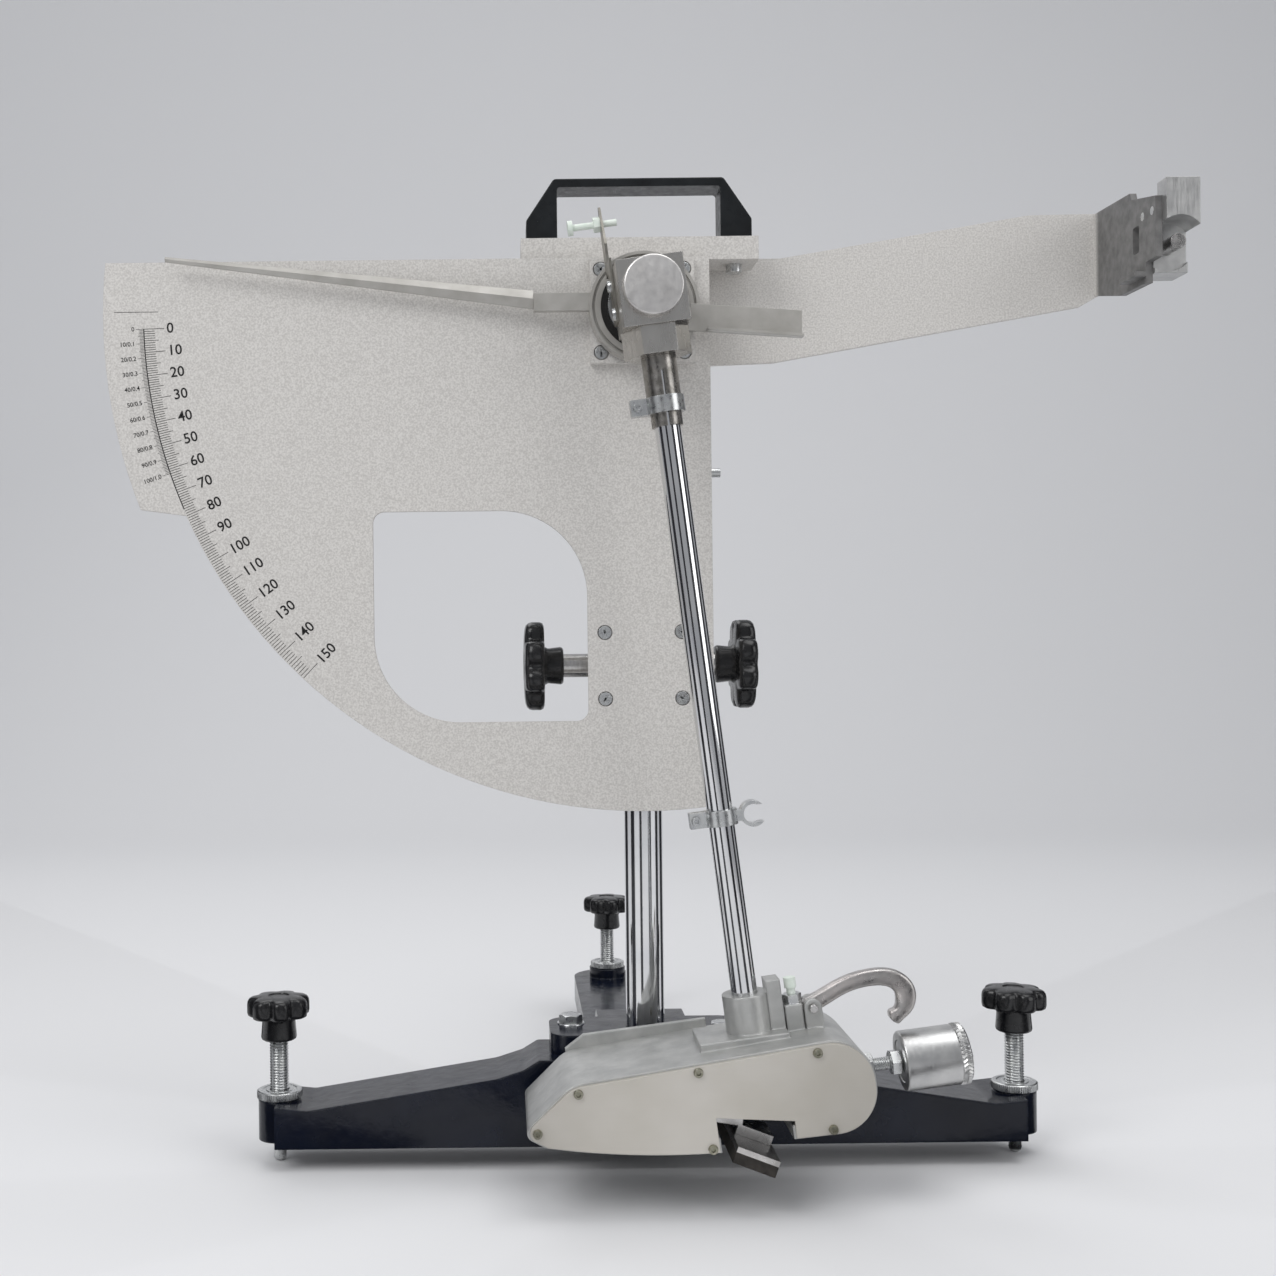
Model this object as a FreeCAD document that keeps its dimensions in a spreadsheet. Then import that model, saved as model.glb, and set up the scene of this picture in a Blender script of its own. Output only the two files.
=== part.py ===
import FreeCAD, Part
import math
import os
import re

import Sketcher
from FreeCAD import Placement, Rotation, Vector

# Pendulum skid resistance tester, in millimetres.
# X runs to the right along the front beam, Y to the back, Z up. The origin is the point of the
# bench straight below the column, which is also straight below the pivot of the pendulum.

doc = FreeCAD.newDocument("pendulum_tester")
sheet = doc.addObject("Spreadsheet::Sheet", "Dims")
names = set()
nodes = []
row = 0

X_AXIS = Vector(1, 0, 0)
Y_AXIS = Vector(0, 1, 0)
Z_AXIS = Vector(0, 0, 1)
TURNED = {"x": Rotation(Y_AXIS, 90), "y": Rotation(X_AXIS, -90), "z": Rotation()}


# Sheet and expressions

def dims(sizes):
    """Write one row of the sheet for each driving dimension."""
    global row
    for alias, value in sizes.items():
        row += 1
        sheet.set("A%d" % row, alias)
        sheet.set("B%d" % row, str(value))
        sheet.setAlias("B%d" % row, alias)
        names.add(alias)
    doc.recompute()


def linked(text):
    """Turn an expression in plain alias words into one that reads the sheet."""
    def cell(word):
        if word[0] in FOLLOWS:
            return "(" + linked(FOLLOWS[word[0]]) + ")"
        return "Dims." + word[0] if word[0] in names else word[0]
    return re.sub(r"[a-z][a-z_0-9]*", cell, str(text))


def value(text):
    return float(sheet.evalExpression(linked(text)))


def bind(obj, **sizes):
    for name, text in sizes.items():
        obj.setExpression(name.replace("__", "."), linked(text))
    return obj


def seat(obj, at, turn=None):
    """Place an object, with each coordinate bound to the sheet."""
    obj.Placement = Placement(Vector(), turn or Rotation())
    return bind(obj, Placement__Base__x=at[0], Placement__Base__y=at[1], Placement__Base__z=at[2])


# Primitive solids and booleans

def rod(radius, length, at=(0, 0, 0), axis="z"):
    solid = doc.addObject("Part::Cylinder", "rod")
    bind(solid, Radius=radius, Height=length)
    return seat(solid, at, TURNED[axis])


def block(low, high):
    """A box between two corners, each coordinate an expression."""
    solid = doc.addObject("Part::Box", "block")
    spans = ["(%s) - (%s)" % (b, a) for a, b in zip(low, high)]
    bind(solid, Length=spans[0], Width=spans[1], Height=spans[2])
    return seat(solid, low)


def cone(radius_low, radius_high, length, at=(0, 0, 0), axis="z"):
    solid = doc.addObject("Part::Cone", "cone")
    bind(solid, Radius1=radius_low, Radius2=radius_high, Height=length)
    return seat(solid, at, TURNED[axis])


def hexagon(across_flats, length, at=(0, 0, 0), axis="z"):
    """A hexagonal prism, for nuts and bolt heads."""
    solid = doc.addObject("Part::Prism", "hexagon")
    solid.Polygon = 6
    bind(solid, Circumradius="(%s) / sqrt(3)" % across_flats, Height=length)
    return seat(solid, at, TURNED[axis])


def fuse(*solids):
    joined = doc.addObject("Part::MultiFuse", "fuse")
    joined.Shapes = list(solids)
    joined.Refine = True
    return joined


def cut(base, *tools):
    carved = doc.addObject("Part::Cut", "cut")
    carved.Base = base
    carved.Tool = tools[0] if len(tools) == 1 else fuse(*tools)
    return carved


def common(first, second):
    shared = doc.addObject("Part::Common", "common")
    shared.Base = first
    shared.Tool = second
    return shared


def group(*solids):
    """Several separate solids that share one node."""
    bundle = doc.addObject("Part::Compound", "group")
    bundle.Links = list(solids)
    return bundle


# Bodies and sketches

def new_body():
    return doc.addObject("PartDesign::Body", "body")


def sketch(body, plane, offset=0):
    """A sketch on an origin plane of its own body. XZ sketches face the front, towards -Y."""
    drawn = body.newObject("Sketcher::SketchObject", "sketch")
    origin_plane = [f for f in body.Origin.OriginFeatures if f.Role == plane + "_Plane"][0]
    drawn.AttachmentSupport = [(origin_plane, "")]
    drawn.MapMode = "FlatFace"
    bind(drawn, AttachmentOffset__Base__z=offset)
    return drawn


def pin_point(drawn, geometry, end, x=None, y=None):
    """Dimension one point of the sketch from its origin."""
    for kind, text in (("DistanceX", x), ("DistanceY", y)):
        if text is None:
            continue
        index = drawn.addConstraint(Sketcher.Constraint(kind, -1, 1, geometry, end, value(text)))
        drawn.setExpression("Constraints[%d]" % index, linked(text))


def circle(drawn, x, y, radius):
    geometry = drawn.addGeometry(Part.Circle(Vector(value(x), value(y), 0), Z_AXIS, value(radius)))
    pin_point(drawn, geometry, 3, x, y)
    index = drawn.addConstraint(Sketcher.Constraint("Radius", geometry, value(radius)))
    drawn.setExpression("Constraints[%d]" % index, linked(radius))


def outline(drawn, corners, arcs=()):
    """A closed outline. Each corner is (x, y) or (x, y, radius) in expressions of the sheet.

    arcs maps the number of a corner to (centre x, centre y, turn): the side that leaves the
    corner is then an arc about that centre, and the corner at its far end fixes only one of
    its coordinates, the one that isn't written as a guess in brackets.
    """
    arcs = dict(arcs)
    count = len(corners)
    spots = [Vector(value(str(c[0]).strip("[]")), value(str(c[1]).strip("[]")), 0) for c in corners]
    rounds = [value(c[2]) if len(c) > 2 else 0 for c in corners]
    starts, ends, setbacks = [None] * count, [None] * count, [0] * count
    for i in range(count):
        before = (spots[i - 1] - spots[i]).normalize()
        after = (spots[(i + 1) % count] - spots[i]).normalize()
        if rounds[i]:
            half = before.getAngle(after) / 2
            setbacks[i] = rounds[i] / math.tan(half)
        ends[i] = spots[i] + before * setbacks[i]
        starts[i] = spots[i] + after * setbacks[i]
    sides = []
    for i in range(count):
        j = (i + 1) % count
        if i in arcs:
            centre = Vector(value(arcs[i][0]), value(arcs[i][1]), 0)
            first, last = spots[i] - centre, spots[j] - centre
            angles = [math.atan2(first.y, first.x), math.atan2(last.y, last.x)]
            if arcs[i][2] < 0:
                angles.reverse()
            full = Part.Circle(centre, Z_AXIS, first.Length)
            sides.append(drawn.addGeometry(Part.ArcOfCircle(full, *angles)))
        else:
            sides.append(drawn.addGeometry(Part.LineSegment(starts[i], ends[j])))

    def start_of(i):
        return 2 if i in arcs and arcs[i][2] < 0 else 1

    def end_of(i):
        return 1 if i in arcs and arcs[i][2] < 0 else 2

    for i in range(count):
        before = (i - 1) % count
        x, y = [None if str(c).startswith("[") else c for c in corners[i][:2]]
        if rounds[i]:
            anchor = drawn.addGeometry(Part.Point(spots[i]), True)
            pin_point(drawn, anchor, 1, x, y)
            for side in (sides[before], sides[i]):
                drawn.addConstraint(Sketcher.Constraint("PointOnObject", anchor, 1, side))
            inward = (spots[i - 1] - spots[i]).normalize() + (spots[(i + 1) % count] - spots[i]).normalize()
            half = (spots[i - 1] - spots[i]).getAngle(spots[(i + 1) % count] - spots[i]) / 2
            centre = spots[i] + inward.normalize() * (rounds[i] / math.sin(half))
            first, last = ends[i] - centre, starts[i] - centre
            turn = first.cross(last).z
            angles = [math.atan2(first.y, first.x), math.atan2(last.y, last.x)]
            if turn < 0:
                angles.reverse()
            fillet = drawn.addGeometry(Part.ArcOfCircle(Part.Circle(centre, Z_AXIS, rounds[i]), *angles))
            near, far = (1, 2) if turn > 0 else (2, 1)
            drawn.addConstraint(Sketcher.Constraint("Tangent", sides[before], 2, fillet, near))
            drawn.addConstraint(Sketcher.Constraint("Tangent", sides[i], 1, fillet, far))
            index = drawn.addConstraint(Sketcher.Constraint("Radius", fillet, rounds[i]))
            drawn.setExpression("Constraints[%d]" % index, linked(corners[i][2]))
        else:
            join = Sketcher.Constraint("Coincident", sides[before], end_of(before), sides[i], start_of(i))
            drawn.addConstraint(join)
            pin_point(drawn, sides[i], start_of(i), x, y)
    for i, (x, y, turn) in arcs.items():
        pin_point(drawn, sides[i], 3, x, y)


def rectangle(drawn, low, high, radius=None):
    corners = [(low[0], low[1]), (high[0], low[1]), (high[0], high[1]), (low[0], high[1])]
    if radius is not None:
        corners = [corner + (radius,) for corner in corners]
    outline(drawn, corners)


def pad(body, drawn, length, midplane=False, backwards=False):
    feature = body.newObject("PartDesign::Pad", "pad")
    feature.Profile = drawn
    feature.Midplane = midplane
    feature.Reversed = backwards
    bind(feature, Length=length)
    return feature


def pocket(body, drawn, length, midplane=False, backwards=False):
    feature = body.newObject("PartDesign::Pocket", "pocket")
    feature.Profile = drawn
    feature.Midplane = midplane
    feature.Reversed = backwards
    bind(feature, Length=length)
    return feature


def revolve(body, drawn, axis="V_Axis"):
    feature = body.newObject("PartDesign::Revolution", "revolution")
    feature.Profile = drawn
    feature.ReferenceAxis = (drawn, [axis])
    feature.Angle = 360
    return feature


def around(body, feature, count, axis="Z_Axis"):
    """Repeat a feature evenly round an axis of the body."""
    pattern = body.newObject("PartDesign::PolarPattern", "pattern")
    pattern.Originals = [feature]
    pattern.Axis = ([f for f in body.Origin.OriginFeatures if f.Role == axis][0], [""])
    pattern.Angle = 360
    bind(pattern, Occurrences=count)
    body.Tip = pattern
    return pattern


# Where the groups of pieces stand

def on_bench(obj, label):
    """A piece of the base, drawn in the frame of the whole object."""
    obj.Label = label
    nodes.append(obj)


def on_head(obj, label):
    """A piece drawn from the pivot, which the head carries."""
    bind(obj, Placement__Base__z="pivot_height")
    obj.Label = label
    nodes.append(obj)


def on_pendulum(obj, label):
    """A piece drawn with the pendulum hanging straight, from the pivot in the tube's plane."""
    obj.Placement = Placement(Vector(), Rotation(Y_AXIS, -1))
    bind(obj, Placement__Base__y="-swing_plane", Placement__Base__z="pivot_height")
    bind(obj, Placement__Rotation__Angle="-swing_tilt * 1 deg")
    obj.Label = label
    nodes.append(obj)


def at_foot(obj, label, x, y):
    """A piece drawn round the axis of one levelling screw."""
    bind(obj, Placement__Base__x=x, Placement__Base__y=y)
    obj.Label = label
    nodes.append(obj)


# Driving dimensions

FITS = {
    "running_fit": 0.05,
    "loose_fit": 0.3,
    "free_gap": 1.0,
}

# Heights and planes that the whole object shares
SHARED = {
    "bench_gap": 20.5,
    "swing_plane": 81.5,
    "swing_tilt": 7.05,
    "slider_reach": 508,
}

# Base: T shaped casting, its bosses, the rear arm and the column
BASE = {
    "foot_span": 465,
    "rear_foot": 357,
    "base_floor": 14.3,
    "boss_height": 25.5,
    "boss_radius": 13.3,
    "beam_front": 31.5,
    "beam_back": 19.4,
    "front_foot": 6.1,
    "arm_root_height": 42,
    "arm_root_x": 95,
    "shoulder_x": 72.5,
    "hub_half": 63,
    "hub_depth": 45,
    "hub_top": 67.5,
    "flange_height": 12.2,
    "flange_half": 61,
    "flange_front": 20.4,
    "ramp_end": 112,
    "rear_width": 57,
    "rear_height": 20.4,
    "boss_rise": 8.2,
    "base_bolt_x": 47,
    "base_bolt_y": 12,
    "base_bolt_radius": 4,
    "base_bolt_hex": 13,
    "base_bolt_head": 6,
    "base_bolt_length": 30.5,
    "beam_core": 16,
    "rear_core": 13,
    "rear_core_start": 95,
    "beam_wall": 6.1,
    "level_y": 173.5,
    "level_radius": 14,
    "level_height": 11,
}
COLUMN = {
    "column_radius": 12.2,
    "column_foot": 22.4,
    "column_below": 55,
    "rack_flat": 11,
    "rack_pitch": 3.927,
    "rack_below": 36,
    "rack_teeth": 72,
    "rack_depth": 2.8,
}

# Levelling screws
LEVELLING = {
    "screw_radius": 6,
    "screw_top": 87.5,
    "tip_radius": 4,
    "tip_length": 12.2,
    "ring_radius": 14.3,
    "ring_height": 5.1,
    "foot_knob_radius": 19.9,
    "foot_knob_height": 13.3,
    "foot_knob_hub": 11.2,
    "foot_knob_top": 104,
    "foot_knob_skirt": 14.3,
    "lobe_count": 7,
    "lobe_radius": 5.1,
}

# Head: sleeve casting, bearings, top bar, carrying handle
HEAD = {
    "plate_front": 30.5,
    "plate_thickness": 4,
    "sleeve_half": 24.5,
    "sleeve_back": 18.4,
    "sleeve_low": 253,
    "gearbox_half": 30,
    "gearbox_back": 36.5,
    "gearbox_low": 249,
    "gearbox_high": 189.5,
    "housing_radius": 31.5,
    "housing_back": 12.2,
    "head_top": 34,
    "bar_half": 74,
    "bar_height": 14.5,
    "bar_front": 22.4,
    "bar_back": 8.2,
    "bearing_radius": 13,
    "bearing_width": 8,
    "spindle_radius": 5,
    "column_room": 32.5,
}
HANDLE = {
    "handle_half": 70.5,
    "handle_shoulder": 53,
    "handle_side": 11.9,
    "handle_height": 37.9,
    "handle_depth": 22.4,
    "handle_grip": 5.1,
    "handle_leg": 19.4,
    "handle_y": 7.1,
    "grip_round": 3.1,
}
BOLTS = {
    "bolt_radius": 3,
    "bolt_head_radius": 5,
    "bolt_head": 5,
    "bar_bolt_x": 14,
    "bar_bolt_y": 7,
    "bolt_hole_depth": 14,
    "arm_bolt": 20,
    "arm_hole": 18,
}

# Scale plate: everything is concentric with the pivot
SCALE = {
    "scale_radius": 308,
    "tab_radius": 332.5,
    "plate_top": 34,
    "plate_right": 42,
    "tab_low": 118.5,
    "scale_low": 122.5,
    "window_left": 167.5,
    "window_right": 35.5,
    "window_top": 121.5,
    "window_low": 252,
    "window_round": 53,
    "window_corner": 7.1,
    "plate_screw_x": 23.8,
    "plate_screw_shift": -1.2,
    "plate_screw_high": 197.5,
    "plate_screw_low": 238.5,
    "small_screw_radius": 2.5,
    "small_head_radius": 4.6,
    "small_head": 2.6,
}

# Bearing flange, pointer and its friction stack
BEARING = {
    "flange_size": 64.5,
    "flange_thickness": 5,
    "flange_screw": 25.5,
    "snout_radius": 14,
    "snout_length": 19,
    "felt_thickness": 3,
    "felt_radius": 26.5,
    "ring_outer": 33.5,
    "ring_thickness": 10,
    "groove_inner": 30,
    "groove_outer": 31.5,
    "groove_depth": 2,
    "front_felt": 2,
    "nut_radius": 22.4,
    "nut_thickness": 4,
}
POINTER = {
    "pointer_reach": 291.5,
    "pointer_rise": 34.5,
    "pointer_root_rise": 3.7,
    "blade_root": 11.2,
    "blade_tip": 3.1,
    "blade_fold": 3.1,
    "blade_sheet": 1,
    "blade_seat": 6.5,
    "clip_end": 67,
    "clip_height": 14.9,
    "tail_length": 95,
    "tail_width": 16.7,
    "tail_fall": 5.6,
    "tail_rise": 1.5,
    "tail_sheet": 1.5,
    "tail_lip": 7,
}

# Catch arm, catch block and release plunger
CATCH_ARM = {
    "arm_sheet": 4,
    "arm_left": 34.5,
    "arm_low": 28.6,
    "arm_top": 42.5,
    "arm_bend_x": 93.5,
    "arm_end": 300,
    "arm_kink_x": 254,
    "arm_kink_top": 68.5,
    "arm_end_low": 16.8,
    "arm_knee_x": 286.5,
    "arm_knee_low": 9.2,
    "wing_front": 81.5,
    "wing_low": 6.1,
    "wing_high": 54,
    "wing_step": 45,
    "wing_clear": 67.5,
    "wing_tube_top": 18.4,
    "slot_width": 9.2,
    "slot_height": 16.3,
    "ledge_width": 22.4,
    "ledge_reach": 7.1,
}
CATCH_BLOCK = {
    "catch_x": 308,
    "catch_z": 26.6,
    "catch_width": 19.4,
    "catch_high": 63,
    "catch_step": 52,
    "catch_shelf": 75,
    "catch_bolt_front": 76.5,
    "catch_bolt_back": 63,
    "catch_bolt_z": 46.5,
    "catch_low": 11.3,
    "catch_front": 88,
    "catch_back": 49,
    "recess_floor": 70.5,
    "recess_radius": 14.5,
    "barrel_radius": 7.9,
    "barrel_back": 22.4,
    "barrel_wall": 3,
    "pin_radius": 4.5,
    "pin_front": 84.5,
    "spring_bore": 6.1,
    "collar_radius": 5.9,
    "collar_front": 59,
    "collar_width": 3,
    "stem_radius": 2.6,
    "stem_back": 18.4,
    "spring_radius": 5.7,
    "plunger_travel": 16.3,
}

# Elevating gear and head lock
GEARING = {
    "pinion_teeth": 14,
    "pinion_width": 14,
    "tooth_height": 1.25,
    "tooth_root": 1.5,
    "shaft_radius": 4,
    "shaft_half": 69.5,
    "gear_height": 218.5,
    "bush_radius": 7.6,
    "bush_end": 49,
    "knob_radius": 30,
    "knob_width": 13.3,
    "knob_hub": 12.2,
    "knob_out": 74.5,
    "knob_lobe": 7.1,
    "knob_lobes": 8,
}
HEAD_LOCK = {
    "lock_height": 94,
    "lock_y": 24.5,
    "lock_radius": 3,
    "lock_right": 55,
    "lock_left": 51,
    "lock_knob": 12.2,
    "lock_knob_width": 12.2,
    "ear_half": 12.2,
    "ear_back": 31.5,
    "ear_height": 26.5,
    "slit_width": 3,
    "slit_height": 71.5,
}

# Pendulum head, tube and fittings
PENDULUM_HEAD = {
    "head_half": 19.4,
    "head_rise": 17.8,
    "head_drop": 21.2,
    "cap_radius": 17.3,
    "cap_thickness": 6.1,
    "union_size": 34.5,
    "union_height": 16.3,
    "sleeve_radius": 10.2,
    "sleeve_end": 61,
    "collet_radius": 9.2,
    "collet_end": 78.5,
    "clamp_radius": 11.7,
    "clamp_height": 9.7,
    "ear_reach": 20.4,
    "ear_width": 8.2,
    "tube_radius": 7.6,
    "tube_wall": 1.5,
    "tube_end_above": 65.5,
    "spigot_length": 13.3,
    "spindle_shoulder": 8.2,
    "spindle_tail": 26.5,
    "nut_size": 17,
    "nut_height": 7,
}
CATCH_CLIP = {
    "clip_offset": 18.7,
    "clip_outer": 7.6,
    "clip_inner": 5.6,
    "clip_gap": 10,
    "clip_neck": 6.5,
    "clip_width": 8.2,
    "band_radius": 9.8,
    "band_height": 9.2,
    "band_ear": 18.4,
}
DRIVER = {
    "driver_height": 60.5,
    "driver_tip": 4,
    "driver_shoulder": 44,
    "driver_low": 18.4,
    "driver_sheet": 1.5,
    "driver_fore": 2.05,
    "driver_aft": 30,
    "driver_screw_z": 50.5,
    "driver_screw_y": 25.5,
    "nylon_radius": 2,
    "nylon_head": 4.5,
    "nylon_nut": 4,
    "nylon_left": 40.5,
    "nylon_right": 10.9,
}

# Pendulum foot: casting, covers, slider, lifting lever and balance weight
FOOT = {
    "foot_half": 37.5,
    "cover_sheet": 3,
    "cover_inset": 1.2,
    "crest_left": 96,
    "crest_right": 21,
    "crest_foot": 108,
    "crest_above": 74.5,
    "foot_wall": 8.2,
    "foot_arc_above": 17,
    "foot_base_left": 126.5,
    "nose_x": 139.5,
    "nose_above": 42.5,
    "nose_round": 5.1,
    "brow_x": 108,
    "brow_above": 66.5,
    "brow_round": 20.4,
    "heel_x": 62,
    "heel_top_above": 73,
    "heel_low_above": 19,
    "heel_round": 24.5,
    "bay_left": 28.9,
    "bay_left_top_above": 38.5,
    "bay_right": 12.2,
    "bay_right_top_above": 31,
    "bay_right_low_above": 20,
}
COVER_SCREWS = {
    "brow_screw_x": 104.5,
    "brow_screw_above": 62,
    "middle_screw_x": 36.5,
    "middle_screw_above": 65,
    "pad_screw_x": 31,
    "pad_screw_above": 67,
    "nose_screw_x": 130,
    "nose_screw_above": 43,
    "bay_screw_x": 34,
    "bay_screw_above": 21.5,
    "heel_screw_x": 34,
    "heel_screw_above": 23.5,
}
FOOT_CASTING = {
    "socket_radius": 13.3,
    "socket_top_above": 96,
    "socket_low_above": 63.5,
    "pad_left": 31.5,
    "pad_right": 20.4,
    "pad_rise": 3.1,
    "lug_left": 12,
    "lug_right": 20.4,
    "lug_half": 7,
    "lug_top_above": 102.5,
    "post_left": 21.4,
    "post_right": 31.5,
    "post_top_above": 86.5,
    "post_half": 6.1,
    "stop_x": 27,
    "stop_radius": 3.5,
    "stop_top_above": 101.5,
    "stop_stem": 2.55,
    "cover_screw": 1.6,
    "cover_head": 2.8,
    "cover_head_height": 2,
}
SLIDER = {
    "slider_length": 25.4,
    "slider_width": 76.2,
    "rubber_thickness": 6.35,
    "backing_thickness": 3.2,
    "slider_angle": 28,
    "slider_edge": 1.65,
    "hinge_x": 63,
    "hinge_above": 42,
    "bar_end_x": 12.2,
    "bar_end_above": 26.5,
    "pin_size": 3,
    "eye_radius": 6.6,
    "carrier_width": 26.5,
    "carrier_height": 7.1,
    "holder_height": 6.1,
    "coil_radius": 6.1,
    "coil_start": 15.3,
    "coil_end": 30.5,
}
LEVER = {
    "lever_x": 37.5,
    "lever_above": 83.5,
    "lever_width": 8.2,
    "lever_eye": 5.1,
    "lever_pin": 2.5,
    "cheek": 3,
}
BALANCE = {
    "rod_above": 44,
    "rod_radius": 3.9,
    "rod_start": 55,
    "rod_end": 126.5,
    "rod_nut": 13,
    "rod_nut_width": 6,
    "weight_start": 85,
    "weight_end": 123.5,
    "weight_radius": 17.3,
    "knurl_width": 6.1,
    "knurl_rise": 0.5,
}

# Depths below the pivot and heights over the bench that follow from the sizes above. What belongs to the
# foot of the pendulum is measured upwards from the working edge of the slider.
FOLLOWS = {
    "pivot_height": "slider_reach + bench_gap",
    "column_top": "pivot_height - column_below",
    "crest_drop": "slider_reach - crest_above",
    "foot_arc": "slider_reach - foot_arc_above",
    "nose_drop": "slider_reach - nose_above",
    "brow_drop": "slider_reach - brow_above",
    "heel_top": "slider_reach - heel_top_above",
    "heel_low": "slider_reach - heel_low_above",
    "bay_left_top": "slider_reach - bay_left_top_above",
    "bay_right_top": "slider_reach - bay_right_top_above",
    "bay_right_low": "slider_reach - bay_right_low_above",
    "brow_screw_drop": "slider_reach - brow_screw_above",
    "middle_screw_drop": "slider_reach - middle_screw_above",
    "pad_screw_drop": "slider_reach - pad_screw_above",
    "nose_screw_drop": "slider_reach - nose_screw_above",
    "bay_screw_drop": "slider_reach - bay_screw_above",
    "heel_screw_drop": "slider_reach - heel_screw_above",
    "socket_top": "slider_reach - socket_top_above",
    "socket_low": "slider_reach - socket_low_above",
    "lug_top": "slider_reach - lug_top_above",
    "post_top": "slider_reach - post_top_above",
    "stop_top": "slider_reach - stop_top_above",
    "hinge_drop": "slider_reach - hinge_above",
    "bar_end_drop": "slider_reach - bar_end_above",
    "lever_drop": "slider_reach - lever_above",
    "rod_drop": "slider_reach - rod_above",
    "tube_end": "slider_reach - tube_end_above",
}

for table in (FITS, SHARED, BASE, COLUMN, LEVELLING, HEAD, HANDLE, BOLTS, SCALE, BEARING,
              POINTER, CATCH_ARM, CATCH_BLOCK, GEARING, HEAD_LOCK, PENDULUM_HEAD, CATCH_CLIP,
              DRIVER, FOOT, COVER_SCREWS, FOOT_CASTING, SLIDER, LEVER, BALANCE):
    dims(table)


# Base

def base_beam():
    """Front casting: two tapering arms with round end bosses, and a hub that takes the column."""
    body = new_body()
    half = "foot_span / 2"
    side = sketch(body, "XZ", "-beam_back")
    low = "base_floor"
    boss_top = "base_floor + boss_height"
    crest = "base_floor + arm_root_height"
    right = [("foot_span / 2", boss_top), ("foot_span / 2 - 20", boss_top + " - 2", 14),
             ("arm_root_x", crest, 20), ("shoulder_x + 6", "hub_top - 6", 8),
             ("shoulder_x - 4", "hub_top", 5)]
    left = [("-(%s)" % p[0],) + p[1:] for p in reversed(right)]
    outline(side, [("-(%s)" % half, low), (half, low)] + right + left)
    pad(body, side, "beam_front + beam_back")
    hub = sketch(body, "XY", "base_floor")
    rectangle(hub, ("-hub_half", "-hub_depth / 2"), ("hub_half", "hub_depth / 2"), "10")
    pad(body, hub, "hub_top - base_floor")
    for sign in ("-", ""):
        boss = sketch(body, "XY", "base_floor")
        circle(boss, sign + "foot_span / 2", "-front_foot", "boss_radius")
        pad(body, boss, "boss_height")
    for x, y, radius, floor in (("0", "0", "column_radius + running_fit", "column_foot"),
                                ("base_bolt_x", "-base_bolt_y", "base_bolt_radius + running_fit",
                                 "hub_top - 22"),
                                ("-base_bolt_x", "base_bolt_y", "base_bolt_radius + running_fit",
                                 "hub_top - 22"),
                                ("foot_span / 2", "-front_foot", "screw_radius + running_fit",
                                 "base_floor - 1"),
                                ("-foot_span / 2", "-front_foot", "screw_radius + running_fit",
                                 "base_floor - 1")):
        hole = sketch(body, "XY", floor)
        circle(hole, x, y, radius)
        pocket(body, hole, "hub_top", backwards=True)
    for sign in ("-", ""):
        core = sketch(body, "XY", "base_floor")
        near, far = "hub_half + beam_wall", "foot_span / 2 - boss_radius - beam_wall"
        low_x, high_x = (near, far) if sign == "" else ("-(%s)" % far, "-(%s)" % near)
        rectangle(core, (low_x, "beam_wall - beam_front"), (high_x, "beam_back - beam_wall"), "4")
        pocket(body, core, "beam_core", backwards=True)
    on_bench(body, "base_beam")


def rear_arm():
    """Rear casting: a flange bolted on the hub, a sloping neck and a flat arm to the rear screw."""
    body = new_body()
    top = "hub_top + flange_height"
    side = sketch(body, "YZ")
    outline(side, [("hub_depth / 2", "base_floor"), ("rear_foot", "base_floor"),
                   ("rear_foot", "base_floor + rear_height"),
                   ("ramp_end", "base_floor + rear_height", 30), ("flange_front + 30", top, 12),
                   ("-flange_front", top), ("-flange_front", "hub_top"), ("hub_depth / 2", "hub_top")])
    pad(body, side, "rear_width", midplane=True)
    flange = sketch(body, "XY", "hub_top")
    rectangle(flange, ("-flange_half", "-flange_front"), ("flange_half", "flange_front + 8"), "12")
    pad(body, flange, "flange_height")
    end = sketch(body, "XY", "base_floor")
    circle(end, "0", "rear_foot", "rear_width / 2")
    pad(body, end, "rear_height")
    boss = sketch(body, "XY", "base_floor")
    circle(boss, "0", "rear_foot", "boss_radius + 2")
    pad(body, boss, "rear_height + boss_rise")
    for x, y, radius in (("0", "0", "column_radius + loose_fit"),
                         ("0", "rear_foot", "screw_radius + running_fit"),
                         ("base_bolt_x", "-base_bolt_y", "base_bolt_radius + running_fit"),
                         ("-base_bolt_x", "base_bolt_y", "base_bolt_radius + running_fit")):
        hole = sketch(body, "XY", "0")
        circle(hole, x, y, radius)
        pocket(body, hole, "pivot_height", backwards=True)
    core = sketch(body, "XY", "base_floor")
    rectangle(core, ("beam_wall - rear_width / 2", "rear_core_start"),
              ("rear_width / 2 - beam_wall", "rear_foot - boss_radius - beam_wall"), "4")
    pocket(body, core, "rear_core", backwards=True)
    on_bench(body, "rear_arm")


def base_bolts():
    """Two hex bolts, on a diagonal across the column."""
    bolts = []
    for x, y in (("-base_bolt_x", "base_bolt_y"), ("base_bolt_x", "-base_bolt_y")):
        top = "hub_top + flange_height"
        shank = rod("base_bolt_radius", "base_bolt_length", (x, y, top + " - base_bolt_length"))
        head = hexagon("base_bolt_hex", "base_bolt_head", (x, y, top))
        bolts.append(fuse(shank, head))
    on_bench(group(*bolts), "base_bolts")


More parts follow.
